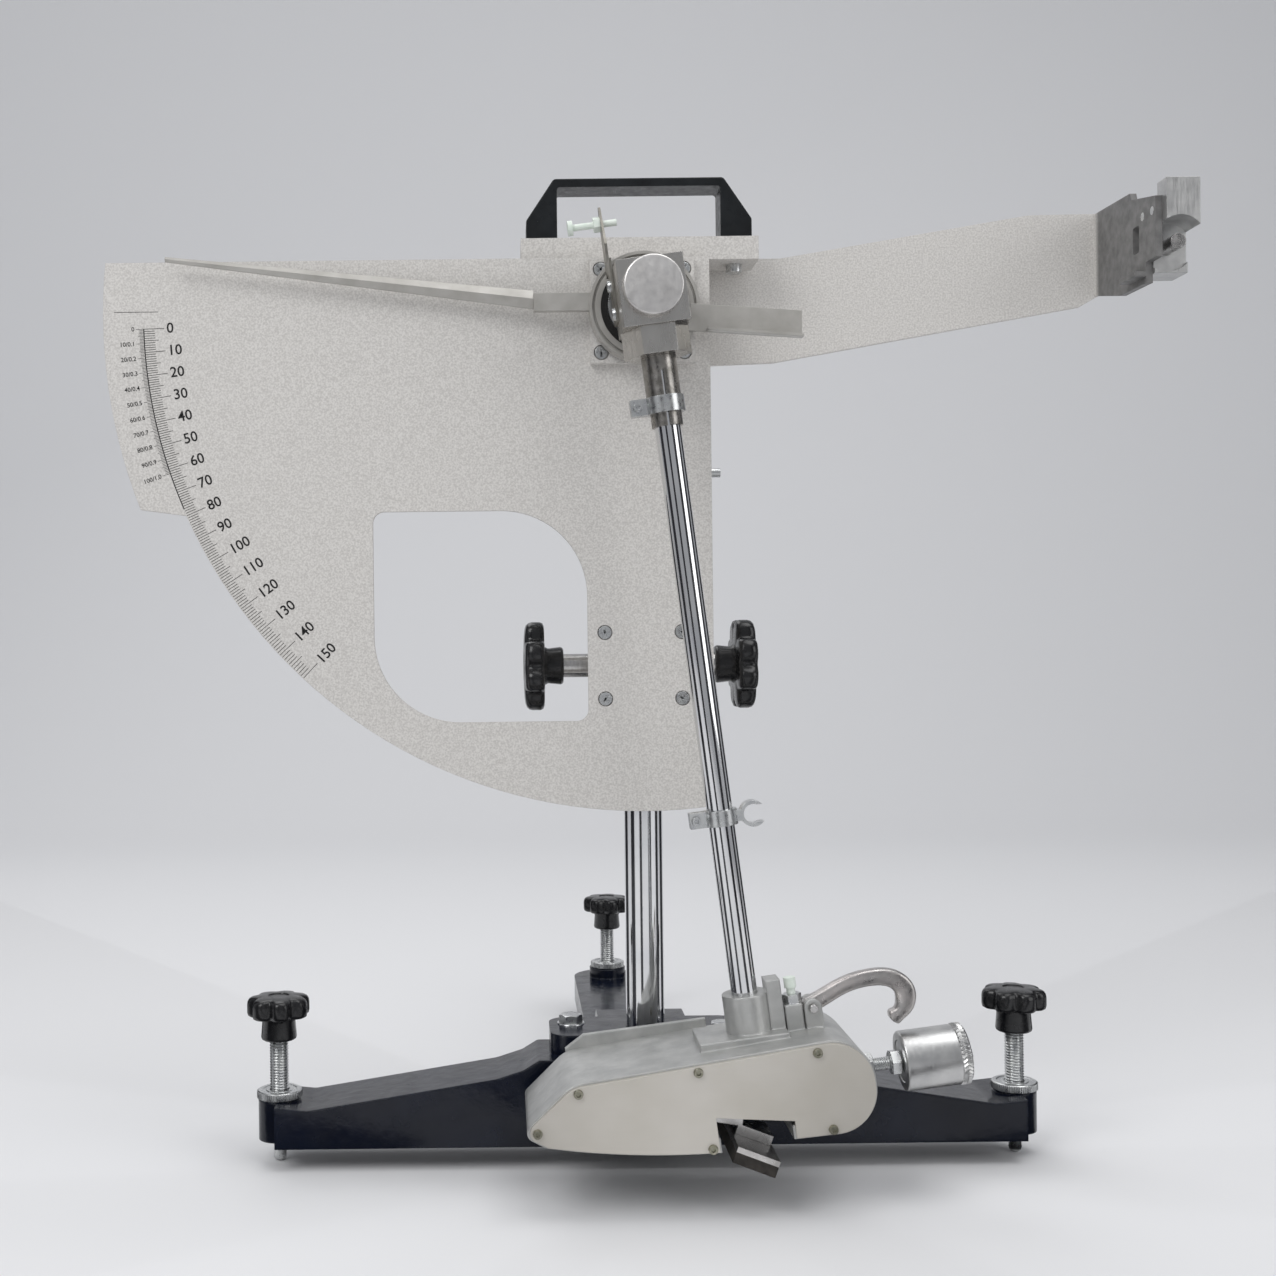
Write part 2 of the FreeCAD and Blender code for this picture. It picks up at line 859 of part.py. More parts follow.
def column():
    """Chromed column with a rack cut into the flat on its back."""
    body = new_body()
    bar = sketch(body, "XY", "column_foot")
    circle(bar, "0", "0", "column_radius")
    pad(body, bar, "column_top - column_foot")
    low = "(pivot_height - gear_height - rack_below * rack_pitch)"
    flat = sketch(body, "XY", low + " - rack_pitch")
    rectangle(flat, ("-column_radius", "rack_flat"), ("column_radius", "column_radius + 1"))
    pocket(body, flat, "rack_pitch * (rack_teeth + 1)", backwards=True)
    tooth = sketch(body, "YZ")
    outline(tooth, [("rack_flat - rack_depth", low + " - rack_pitch * 0.2"),
                    ("rack_flat + 1", low + " - rack_pitch * 0.48"),
                    ("rack_flat + 1", low + " + rack_pitch * 0.48"),
                    ("rack_flat - rack_depth", low + " + rack_pitch * 0.2")])
    space = pocket(body, tooth, "column_radius * 2", midplane=True)
    rack = body.newObject("PartDesign::LinearPattern", "rack")
    rack.Originals = [space]
    rack.Direction = ([f for f in body.Origin.OriginFeatures if f.Role == "Z_Axis"][0], [""])
    bind(rack, Length="rack_pitch * (rack_teeth - 1)", Occurrences="rack_teeth")
    body.Tip = rack
    on_bench(body, "column")


def spirit_level():
    """Round bubble level on the rear arm, behind the column."""
    top = "base_floor + rear_height"
    case = fuse(rod("level_radius", "level_height", (0, "level_y", top)),
                rod("level_radius + 4", "3", (0, "level_y", top)))
    well = rod("level_radius - 3", "level_height", (0, "level_y", top + " + 8"))
    on_bench(cut(case, well), "spirit_level")


# Levelling screws

def star_knob(radius, width, hub, skirt, bore, bore_depth, lobes, lobe):
    """Moulded knob: a scalloped disc with a hub below it, drawn upwards from the end of the hub."""
    body = new_body()
    bevel = "(%s) * 0.14" % width
    top = "(%s) + (%s)" % (skirt, width)
    half = sketch(body, "XZ")
    outline(half, [("0", "0"), (hub, "0"), (hub, skirt), ("(%s) - %s" % (radius, bevel), skirt),
                   (radius, "(%s) + %s" % (skirt, bevel)), (radius, "%s - %s" % (top, bevel)),
                   ("(%s) - %s" % (radius, bevel), top), ("0", top)])
    revolve(body, half)
    bite = sketch(body, "XY", skirt)
    circle(bite, "(%s) + (%s) * 0.45" % (radius, lobe), "0", lobe)
    around(body, pocket(body, bite, width, backwards=True), lobes)
    hole = sketch(body, "XY")
    circle(hole, "0", "0", bore)
    pocket(body, hole, bore_depth, backwards=True)
    return body


def levelling_screws():
    feet = (("left", "-foot_span / 2", "-front_foot", "base_floor + boss_height"),
            ("right", "foot_span / 2", "-front_foot", "base_floor + boss_height"),
            ("rear", "0", "rear_foot", "base_floor + rear_height + boss_rise"))
    for side, x, y, seat_height in feet:
        screw = fuse(rod("tip_radius", "tip_length"),
                     rod("screw_radius", "screw_top - tip_length", (0, 0, "tip_length")))
        at_foot(screw, side + "_levelling_screw", x, y)
        knob = star_knob("foot_knob_radius", "foot_knob_height", "foot_knob_hub", "foot_knob_skirt",
                         "screw_radius + running_fit",
                         "screw_top - foot_knob_top + foot_knob_height + foot_knob_skirt",
                         "lobe_count", "lobe_radius")
        bind(knob, Placement__Base__z="foot_knob_top - foot_knob_height - foot_knob_skirt")
        at_foot(knob, side + "_levelling_knob", x, y)
        ring = cut(rod("ring_radius", "ring_height"), rod("screw_radius + loose_fit", "ring_height"))
        bind(ring, Placement__Base__z=seat_height)
        at_foot(ring, side + "_lock_ring", x, y)


# Head

# The pinion's axis lies behind the rack by its pitch radius
GEAR_Y = "rack_flat - tooth_height + pinion_teeth * rack_pitch / 2 / pi"


def head_casting():
    """Sleeve that slides on the column, with the gearbox below and the bearing housing above."""
    front = "plate_thickness - plate_front"
    solid = fuse(
        block(("-sleeve_half", front, "-sleeve_low"), ("sleeve_half", "sleeve_back", "-column_room")),
        block(("-gearbox_half", front, "-gearbox_low"),
              ("gearbox_half", "gearbox_back", "-gearbox_high")),
        rod("housing_radius", "housing_back + plate_front - plate_thickness", (0, front, 0), "y"),
        block(("-sleeve_half", front, "-column_room"), ("sleeve_half", "housing_back", "head_top")),
        block(("-ear_half", "column_radius", "-lock_height - ear_height / 2"),
              ("ear_half", "ear_back", "ear_height / 2 - lock_height")))
    length = "sleeve_low + 1"
    carved = cut(
        solid,
        rod("column_radius + running_fit", length + " - column_room", (0, 0, "-sleeve_low - 1")),
        rod("pinion_teeth * rack_pitch / 2 / pi + tooth_height + free_gap", "pinion_width + 2 * free_gap",
            ("-pinion_width / 2 - free_gap", GEAR_Y, "-gear_height"), "x"),
        rod("shaft_radius + running_fit", "gearbox_half * 2 + 2",
            ("-gearbox_half - 1", GEAR_Y, "-gear_height"), "x"),
        rod("bearing_radius + running_fit", "bearing_width", (0, front, 0), "y"),
        rod("bearing_radius + running_fit", "bearing_width", (0, "housing_back - bearing_width", 0), "y"),
        rod("spindle_radius + 3", "housing_back * 4", (0, front, 0), "y"),
        rod("lock_radius + running_fit", "ear_half * 2 + 2",
            ("-ear_half - 1", "lock_y", "-lock_height"), "x"),
        block(("-slit_width / 2", "0", "-lock_height - slit_height / 2"),
              ("slit_width / 2", "ear_back + 1", "slit_height / 2 - lock_height")),
        *head_bolt_holes())
    on_head(carved, "head_casting")


def arm_bolt_spots():
    return [(sx + "arm_bolt", sz + "arm_bolt") for sx in ("-", "") for sz in ("-", "")]


def head_bolt_holes():
    """Blind holes for the bar bolts, the arm bolts and the screws of the plate and flange."""
    holes = [rod("bolt_radius + running_fit", "bolt_hole_depth",
                 (x, "-bar_bolt_y", "head_top - bolt_hole_depth"))
             for x in ("-bar_bolt_x", "bar_bolt_x")]
    for x, z in arm_bolt_spots():
        holes.append(rod("bolt_radius + running_fit", "bolt_hole_depth",
                         (x, "housing_back - bolt_hole_depth", z), "y"))
    for x, z in plate_screw_spots():
        holes.append(rod("small_screw_radius + running_fit", "10",
                         (x, "plate_thickness - plate_front", z), "y"))
    return holes


def plate_screw_spots():
    return [(sx + "plate_screw_x + plate_screw_shift", z)
            for sx in ("-", "") for z in ("-plate_screw_high", "-plate_screw_low")]


def flange_screw_spots():
    return [(sx + "flange_screw", sz + "flange_screw") for sx in ("-", "") for sz in ("-", "")]


def head_top_bar():
    bar = block(("-bar_half", "-bar_front", "head_top"),
                ("bar_half", "bar_back", "head_top + bar_height"))
    holes = [rod("bolt_radius + running_fit", "bar_height",
                 (x, "-bar_bolt_y", "head_top")) for x in ("-bar_bolt_x", "bar_bolt_x")]
    holes += [rod("bolt_head_radius + loose_fit", "bolt_head",
                  (x, "-bar_bolt_y", "head_top + bar_height - bolt_head"))
              for x in ("-bar_bolt_x", "bar_bolt_x")]
    holes += [rod("bolt_radius + running_fit", "bar_height", (x, "-handle_y", "head_top"))
              for x in ("-handle_half + handle_leg / 2", "handle_half - handle_leg / 2")]
    on_head(cut(bar, *holes), "head_top_bar")


def carry_handle():
    """Black handle with chamfered shoulders and a square opening for the hand."""
    body = new_body()
    low = "head_top + bar_height"
    face = sketch(body, "XZ", "handle_y - handle_depth / 2")
    inner = "handle_half - handle_leg"
    outline(face, [("-handle_half", low), ("-handle_half", low + " + handle_side", "grip_round"),
                   ("-handle_shoulder", low + " + handle_height", "grip_round"),
                   ("handle_shoulder", low + " + handle_height", "grip_round"),
                   ("handle_half", low + " + handle_side", "grip_round"), ("handle_half", low),
                   (inner, low), (inner, low + " + handle_height - handle_grip", "2"),
                   ("-(%s)" % inner, low + " + handle_height - handle_grip", "2"),
                   ("-(%s)" % inner, low)])
    pad(body, face, "handle_depth")
    for x in ("-handle_half + handle_leg / 2", "handle_half - handle_leg / 2"):
        hole = sketch(body, "XY", low)
        circle(hole, x, "-handle_y", "bolt_radius + running_fit")
        pocket(body, hole, "10", backwards=True)
    on_head(body, "carry_handle")


def head_bolts():
    """Bolts of the handle, the top bar, the catch arm and the catch block."""
    top = "head_top + bar_height"
    bolts = []
    for x in ("-handle_half + handle_leg / 2", "handle_half - handle_leg / 2"):
        bolts.append(fuse(rod("bolt_radius", "bar_height + 9", (x, "-handle_y", "head_top")),
                          rod("bolt_head_radius", "bolt_head", (x, "-handle_y", "head_top - bolt_head"))))
    for x in ("-bar_bolt_x", "bar_bolt_x"):
        bolts.append(fuse(rod("bolt_radius", "bar_height + 6", (x, "-bar_bolt_y", "head_top - 12")),
                          rod("bolt_head_radius", "bolt_head - 0.5",
                              (x, "-bar_bolt_y", top + " - bolt_head"))))
    for x, z in arm_bolt_spots():
        bolts.append(fuse(rod("bolt_radius", "12 + arm_sheet", (x, "housing_back - 12", z), "y"),
                          hexagon("bolt_head_radius * 2", "4", (x, "housing_back + arm_sheet", z), "y")))
    for y in ("-catch_bolt_front", "-catch_bolt_back"):
        length = "catch_width + arm_sheet - bolt_head"
        bolts.append(fuse(rod("small_screw_radius", length, ("arm_end - arm_sheet", y, "catch_bolt_z"),
                              "x"),
                          rod("small_head_radius", "bolt_head", ("arm_end + catch_width - bolt_head", y,
                                                                 "catch_bolt_z"), "x")))
    on_head(group(*bolts), "head_bolts")


def scale_plate():
    """Sheet plate: a quadrant about the pivot with the small scale's tab and a window."""
    body = new_body()
    face = sketch(body, "XZ", "plate_front - plate_thickness")
    top_tab = "sqrt(tab_radius^2 - plate_top^2)"
    low_tab = "sqrt(tab_radius^2 - tab_low^2)"
    low_scale = "sqrt(scale_radius^2 - scale_low^2)"
    right_low = "sqrt(scale_radius^2 - plate_right^2)"
    outline(face,
            [("plate_right", "plate_top"), ("[-(%s)]" % top_tab, "plate_top"),
             ("[-(%s)]" % low_tab, "-tab_low"), ("[-(%s)]" % low_scale, "-scale_low"),
             ("plate_right", "[-(%s)]" % right_low)],
            {1: ("0", "0", 1), 3: ("0", "0", 1)})
    size_arcs(face, ("tab_radius", "scale_radius"))
    pad(body, face, "plate_thickness")
    window = sketch(body, "XZ", "plate_front - plate_thickness")
    outline(window, [("-window_left", "-window_top", "window_corner"),
                     ("-window_right", "-window_top", "window_round"),
                     ("-window_right", "-window_low", "window_corner"),
                     ("-window_left", "-window_low", "window_round")])
    pocket(body, window, "plate_thickness", backwards=True)
    holes = [("0", "0", "spindle_radius + 3")]
    holes += [(x, z, "small_screw_radius + running_fit") for x, z in plate_screw_spots()]
    holes += [(x, z, "small_screw_radius + running_fit") for x, z in flange_screw_spots()]
    for x, z, radius in holes:
        hole = sketch(body, "XZ", "plate_front - plate_thickness")
        circle(hole, x, z, radius)
        pocket(body, hole, "plate_thickness", backwards=True)
    for x, z in plate_screw_spots():
        sink = sketch(body, "XZ", "plate_front - small_head")
        circle(sink, x, z, "small_head_radius")
        pocket(body, sink, "small_head", backwards=True)
    on_head(body, "scale_plate")


def size_arcs(drawn, radii):
    """Give the arcs of an outline their radii, in the order in which they were drawn."""
    arcs = [i for i, g in enumerate(drawn.Geometry) if isinstance(g, Part.ArcOfCircle)]
    for geometry, radius in zip(arcs, radii):
        index = drawn.addConstraint(Sketcher.Constraint("Radius", geometry, value(radius)))
        drawn.setExpression("Constraints[%d]" % index, linked(radius))


def countersunk(x, z, face, length):
    """A countersunk screw whose head is flush with a face at y = -face."""
    head = cone("small_head_radius", "small_screw_radius", "small_head", (x, "-(%s)" % face, z), "y")
    shank = rod("small_screw_radius", length, (x, "-(%s)" % face, z), "y")
    return fuse(head, shank)


def plate_screws():
    face = "plate_front + flange_thickness"
    screws = [countersunk(x, z, "plate_front", "12") for x, z in plate_screw_spots()]
    screws += [countersunk(x, z, face, "flange_thickness + plate_thickness - 0.5")
               for x, z in flange_screw_spots()]
    on_head(group(*screws), "plate_screws")


def bearing_flange():
    """Square flange with the snout on which the pointer turns."""
    back = "-plate_front"
    face = "-plate_front - flange_thickness"
    plate = block(("-flange_size / 2", face, "-flange_size / 2"),
                  ("flange_size / 2", back, "flange_size / 2"))
    snout = rod("snout_radius", "snout_length", (0, face + " - snout_length", 0), "y")
    tools = [rod("spindle_radius + 1", "flange_thickness + snout_length",
                 (0, face + " - snout_length", 0), "y")]
    for x, z in flange_screw_spots():
        tools.append(rod("small_head_radius + running_fit", "small_head", (x, face, z), "y"))
        tools.append(rod("small_screw_radius + running_fit", "flange_thickness", (x, face, z), "y"))
    on_head(cut(fuse(plate, snout), *tools), "bearing_flange")


def spindle_bearings():
    rings = []
    for y in ("plate_thickness - plate_front", "housing_back - bearing_width"):
        race = cut(rod("bearing_radius", "bearing_width - 0.3", (0, y, 0), "y"),
                   rod("spindle_radius + running_fit", "bearing_width", (0, y, 0), "y"))
        rings.append(race)
    on_head(group(*rings), "spindle_bearings")


def felt_washers():
    face = "-plate_front - flange_thickness"
    washers = []
    for start, thickness in ((face + " - felt_thickness", "felt_thickness"),
                             (face + " - felt_thickness - ring_thickness - front_felt", "front_felt")):
        washers.append(cut(rod("felt_radius", thickness, (0, start, 0), "y"),
                           rod("snout_radius + running_fit", thickness, (0, start, 0), "y")))
    on_head(group(*washers), "felt_washers")


def friction_nut():
    start = "-plate_front - flange_thickness - felt_thickness - ring_thickness - front_felt - nut_thickness"
    ring = cut(rod("nut_radius", "nut_thickness", (0, start, 0), "y"),
               rod("snout_radius + running_fit", "nut_thickness", (0, start, 0), "y"),
               rod("1.5", "nut_thickness", ("18", start, "0"), "y"),
               rod("1.5", "nut_thickness", ("-18", start, "0"), "y"))
    on_head(ring, "friction_nut")


# Catch arm

def catch_arm():
    """Bent sheet arm bolted behind the head, with its end folded forward to carry the catch."""
    body = new_body()
    face = sketch(body, "XZ", "-housing_back - arm_sheet")
    outline(face, [("-arm_left", "-arm_low"), ("arm_bend_x - 5", "-arm_low + 4", 20),
                   ("arm_knee_x", "arm_knee_low"),
                   ("arm_end", "arm_end_low"), ("arm_end", "arm_kink_top + 0.5"),
                   ("arm_kink_x", "arm_kink_top", 30),
                   ("arm_bend_x", "arm_top", 30), ("-arm_left", "arm_top")])
    pad(body, face, "arm_sheet")
    wing = sketch(body, "YZ", "arm_end - arm_sheet")
    back = "housing_back + arm_sheet"
    outline(wing, [(back, "arm_end_low"), ("-28", "wing_low + 1"), ("-wing_clear", "wing_low"),
                   ("-wing_clear", "wing_tube_top"), ("-wing_front", "wing_tube_top"),
                   ("-wing_front", "wing_high"), ("-wing_step - 2", "wing_high + 7"),
                   ("-wing_step", "arm_kink_top - 3"), (back, "arm_kink_top")])
    pad(body, wing, "arm_sheet")
    slot = sketch(body, "YZ", "arm_end - arm_sheet")
    rectangle(slot, ("-58", "catch_z"), ("-58 + slot_width", "catch_z + slot_height"), "2")
    pocket(body, slot, "arm_sheet", backwards=True)
    ledge = sketch(body, "YZ", "arm_end - arm_sheet - ledge_reach")
    rectangle(ledge, ("-wing_clear", "wing_low + 4"), ("ledge_width - wing_clear", "wing_low + 7"))
    pad(body, ledge, "ledge_reach")
    bolts = [(x, z, "bolt_radius + running_fit") for x, z in arm_bolt_spots()]
    for x, z, radius in [("0", "0", "arm_hole")] + bolts:
        hole = sketch(body, "XZ", "-housing_back - arm_sheet")
        circle(hole, x, z, radius)
        pocket(body, hole, "arm_sheet", backwards=True)
    for y in ("-catch_bolt_front", "-catch_bolt_back"):
        hole = sketch(body, "YZ", "arm_end - arm_sheet")
        circle(hole, y, "catch_bolt_z", "small_screw_radius + running_fit")
        pocket(body, hole, "arm_sheet", backwards=True)
    on_head(body, "catch_arm")


def catch_block():
    """Block with the recess that the clip enters from below, and the barrel of the plunger."""
    right = "arm_end + catch_width"
    solid = fuse(block(("arm_end", "-catch_front", "catch_low"), (right, "-catch_shelf", "catch_high")),
                 block(("arm_end", "-catch_shelf", "catch_low"), (right, "-catch_back", "catch_step")),
                 rod("barrel_radius", "catch_back - barrel_back", ("catch_x", "-catch_back", "catch_z"),
                     "y"))
    carved = cut(
        solid,
        rod("recess_radius", "catch_front - recess_floor + 2", ("catch_x", "-catch_front", "catch_z"),
            "y"),
        block(("arm_end", "-catch_front", "catch_low"), (right, "-recess_floor", "catch_z")),
        rod("pin_radius + running_fit", "catch_front", ("catch_x", "-catch_front", "catch_z"), "y"),
        rod("spring_bore", "collar_front - barrel_back - barrel_wall",
            ("catch_x", "-collar_front", "catch_z"), "y"),
        *[rod("small_screw_radius + running_fit", "catch_width", ("arm_end", y, "catch_bolt_z"), "x")
          for y in ("-catch_bolt_front", "-catch_bolt_back")],
        *[rod("small_head_radius + loose_fit", "bolt_head", (right + " - bolt_head", y, "catch_bolt_z"),
              "x")
          for y in ("-catch_bolt_front", "-catch_bolt_back")])
    wall = cut(rod("barrel_radius", "barrel_wall", ("catch_x", "-barrel_back - barrel_wall", "catch_z"),
                   "y"),
               rod("stem_radius + running_fit", "barrel_wall",
                   ("catch_x", "-barrel_back - barrel_wall", "catch_z"), "y"))
    on_head(fuse(carved, wall), "catch_block")


def release_plunger():
    """Sprung pin that the clip hooks over. Pressing its end backwards lets the pendulum go."""
    plunger = fuse(rod("pin_radius", "pin_front - collar_front", ("catch_x", "-pin_front", "catch_z"),
                       "y"),
                   rod("collar_radius", "collar_width", ("catch_x", "-collar_front", "catch_z"), "y"),
                   rod("stem_radius", "collar_front - stem_back",
                       ("catch_x", "-collar_front", "catch_z"), "y"))
    on_head(plunger, "release_plunger")


def plunger_spring():
    start = "-collar_front + collar_width"
    length = "collar_front - collar_width - barrel_back - barrel_wall - plunger_travel"
    coil = cut(rod("spring_radius", length, ("catch_x", start, "catch_z"), "y"),
               rod("stem_radius + 1", length, ("catch_x", start, "catch_z"), "y"))
    on_head(coil, "plunger_spring")


# Elevating gear and head lock

def elevation_gear():
    on_head(rod_node("shaft_radius", "shaft_half * 2", ("-shaft_half", GEAR_Y, "-gear_height")),
            "elevation_shaft")
    body = new_body()
    blank = sketch(body, "XY")
    circle(blank, "0", "0", "pinion_teeth * rack_pitch / 2 / pi + tooth_height")
    pad(body, blank, "pinion_width")
    space = sketch(body, "XY")
    pitch_radius = "pinion_teeth * rack_pitch / 2 / pi"
    outline(space, [("%s - tooth_root" % pitch_radius, "-rack_pitch * 0.16"),
                    ("%s + tooth_height + 1" % pitch_radius, "-rack_pitch * 0.56"),
                    ("%s + tooth_height + 1" % pitch_radius, "rack_pitch * 0.56"),
                    ("%s - tooth_root" % pitch_radius, "rack_pitch * 0.16")])
    around(body, pocket(body, space, "pinion_width", backwards=True), "pinion_teeth")
    hole = sketch(body, "XY")
    circle(hole, "0", "0", "shaft_radius + running_fit")
    pocket(body, hole, "pinion_width", backwards=True)
    body.Placement = Placement(Vector(), TURNED["x"])
    bind(body, Placement__Base__x="-pinion_width / 2", Placement__Base__y=GEAR_Y,
         Placement__Base__z="pivot_height - gear_height")
    body.Label = "elevation_pinion"
    nodes.append(body)
    for side, turn in (("left", 90), ("right", -90)):
        sign = "-" if side == "left" else ""
        knob = star_knob("knob_radius", "knob_width", "knob_hub", "knob_out - knob_width - bush_end",
                         "shaft_radius + running_fit", "shaft_half - bush_end", "knob_lobes", "knob_lobe")
        knob.Placement = Placement(Vector(), Rotation(Y_AXIS, -90 if side == "left" else 90))
        bind(knob, Placement__Base__x=sign + "(bush_end + running_fit)", Placement__Base__y=GEAR_Y,
             Placement__Base__z="pivot_height - gear_height")
        knob.Label = side + "_elevation_knob"
        nodes.append(knob)
    bushes = []
    for start in ("gearbox_half", "-bush_end"):
        length = "bush_end - gearbox_half"
        bushes.append(cut(rod("bush_radius", length, (start, GEAR_Y, "-gear_height"), "x"),
                          rod("shaft_radius + running_fit", length, (start, GEAR_Y, "-gear_height"),
                              "x")))
    on_head(group(*bushes), "elevation_bushes")


def rod_node(radius, length, at):
    """A plain shaft along X that is a node by itself."""
    return group(rod(radius, length, at, "x"))


def head_lock():
    screw = rod("lock_radius", "lock_left + lock_right", ("-lock_left", "lock_y", "-lock_height"), "x")
    knob = rod("lock_knob", "lock_knob_width",
               ("-lock_left - lock_knob_width", "lock_y", "-lock_height"), "x")
    nut = hexagon("lock_radius * 3.3", "5", ("ear_half + 0.2", "lock_y", "-lock_height"), "x")
    shoulder = rod("lock_radius * 1.6", "lock_left - ear_half - 0.2",
                   ("-lock_left", "lock_y", "-lock_height"), "x")
    on_head(fuse(screw, knob, nut, shoulder), "head_lock_screw")


# Pointer

def pointer():
    back = "-plate_front - flange_thickness - felt_thickness"
    front = back + " - ring_thickness"
    hub = fuse(rod("ring_outer", "ring_thickness", (0, front, 0), "y"),
               block(("-clip_end", front + " + 3", "pointer_root_rise - clip_height / 2 + 2"),
                     ("-ring_outer + 4", back + " - 2", "pointer_root_rise + clip_height / 2 - 2")))
    carved = cut(hub, rod("snout_radius + running_fit", "ring_thickness", (0, front, 0), "y"),
                 cut(rod("groove_outer", "groove_depth", (0, front, 0), "y"),
                     rod("groove_inner", "groove_depth", (0, front, 0), "y")))
    on_head(carved, "pointer_ring")
    blade = new_body()
    middle = front + " + blade_seat"
    root = blade_section(blade, "clip_end", middle, "pointer_root_rise + 2.1", "blade_root")
    tip = blade_section(blade, "pointer_reach", middle, "pointer_rise - 1.5", "blade_tip")
    loft = blade.newObject("PartDesign::AdditiveLoft", "loft")
    loft.Profile = root
    loft.Sections = [tip]
    loft.Ruled = True
    on_head(blade, "pointer_blade")


def blade_section(body, place, middle, rise, width):
    """Folded section of the blade at a distance from the pivot."""
    section = sketch(body, "YZ", "-(%s)" % place)
    top = "%s + (%s) / 2" % (rise, width)
    low = "%s - (%s) / 2" % (rise, width)
    crest = "%s - blade_fold * (%s) / blade_root" % (middle, width)
    outline(section, [(middle, top), (crest, rise), (middle, low), (middle + " + blade_sheet", low),
                      (crest + " + blade_sheet", rise), (middle + " + blade_sheet", top)])
    return section


def pointer_tail():
    """Sheet counterweight in line with the blade, with its lower edge folded forward."""
    back = "-plate_front - flange_thickness - felt_thickness"
    face = back + " - ring_thickness"
    low_end = "tail_rise - tail_fall - tail_width"
    body = new_body()
    plate = sketch(body, "XZ", "plate_front + flange_thickness + felt_thickness + ring_thickness")
    outline(plate, [("ring_outer - 12", "tail_rise"), ("ring_outer - 12", "tail_rise - tail_width"),
                    ("tail_length", low_end), ("tail_length", "tail_rise - tail_fall")])
    pad(body, plate, "tail_sheet")
    lip = sketch(body, "XZ", "plate_front + flange_thickness + felt_thickness + ring_thickness")
    outline(lip, [("ring_outer + 4", "tail_rise - tail_width + tail_sheet - 1"),
                  ("ring_outer + 4", "tail_rise - tail_width - 1"), ("tail_length", low_end),
                  ("tail_length", low_end + " + tail_sheet")])
    pad(body, lip, "tail_lip")
    hole = sketch(body, "XZ", "plate_front + flange_thickness + felt_thickness + ring_thickness")
    circle(hole, "0", "0", "felt_radius + 1")
    pocket(body, hole, "tail_lip", backwards=True)
    on_head(body, "pointer_tail")


# Pendulum

def spindle():
    """Spindle that turns in the two bearings and is clamped in the pendulum head."""
    head_back = "swing_plane - head_half"
    shaft = rod("spindle_radius", head_back + " + head_half * 1.5 + spindle_tail",
                (0, "-head_half / 2", 0), "y")
    snout_front = "plate_front + flange_thickness + snout_length"
    shoulder = rod("spindle_shoulder", head_back + " - (" + snout_front + ") - free_gap",
                   (0, "head_half", 0), "y")
    nut = cut(hexagon("nut_size", "nut_height", (0, "swing_plane + housing_back + 0.5", 0), "y"),
              rod("spindle_radius + 0.02", "nut_height", (0, "swing_plane + housing_back + 0.5", 0), "y"))
    on_pendulum(group(fuse(shaft, shoulder), nut), "pendulum_spindle")


def pendulum_head():
    solid = fuse(block(("-head_half", "-head_half", "-head_drop"),
                       ("head_half", "head_half", "head_rise")),
                 rod("tube_radius - tube_wall - running_fit", "spigot_length",
                     (0, 0, "-head_drop - spigot_length")))
    bore = rod("spindle_radius + 0.02", "head_half * 1.5", (0, "-head_half / 2", 0), "y")
    bolts = [rod("small_screw_radius - 0.5 + running_fit", "8", ("-head_half", y, z), "x")
             for y, z in driver_bolt_spots()]
    on_pendulum(cut(solid, bore, *bolts), "pendulum_head")
    cap = cut(rod("cap_radius", "cap_thickness", (0, "-head_half - cap_thickness", 0), "y"),
              cut(rod("cap_radius - 3", "1", (0, "-head_half - cap_thickness", 0), "y"),
                  rod("cap_radius - 5", "1", (0, "-head_half - cap_thickness", 0), "y")))
    on_pendulum(cap, "head_cap")


def driver_bolt_spots():
    return [("6", "head_rise - 26"), ("13", "head_rise - 8")]


def tube_and_fittings():
    bore = "tube_radius + running_fit"
    nut = cut(hexagon("union_size", "union_height", (0, 0, "-head_drop - union_height")),
              rod(bore, "union_height", (0, 0, "-head_drop - union_height")))
    on_pendulum(nut, "union_nut")
    top = "head_drop + union_height"
    sleeve = cut(fuse(rod("sleeve_radius", "sleeve_end - (%s)" % top, (0, 0, "-sleeve_end")),
                      rod("collet_radius", "collet_end - (%s)" % top, (0, 0, "-collet_end"))),
                 rod(bore, "collet_end", (0, 0, "-collet_end")),
                 block(("-0.8", "-sleeve_radius", "-collet_end"), ("0.8", "0", "-sleeve_end + 15")))
    on_pendulum(sleeve, "tube_sleeve")
    low = "-sleeve_end - clamp_height"
    clamp = cut(fuse(rod("clamp_radius", "clamp_height", (0, 0, low)),
                     block(("-ear_reach", "-ear_width / 2", low), ("0", "ear_width / 2", "-sleeve_end"))),
                rod("collet_radius + running_fit", "clamp_height", (0, 0, low)),
                block(("-ear_reach", "-0.6", low), ("0", "0.6", "-sleeve_end")),
                rod("1.5 + running_fit", "ear_width",
                    ("-ear_reach + 4", "-ear_width / 2", "-sleeve_end - clamp_height / 2"), "y"))
    on_pendulum(clamp, "sleeve_clamp")
    tube = cut(rod("tube_radius", "tube_end - head_drop", (0, 0, "-tube_end")),
               rod("tube_radius - tube_wall", "tube_end - head_drop", (0, 0, "-tube_end")))
    on_pendulum(tube, "pendulum_tube")


CLIP_DROP = "sqrt(catch_x^2 + catch_z^2 - clip_offset^2)"


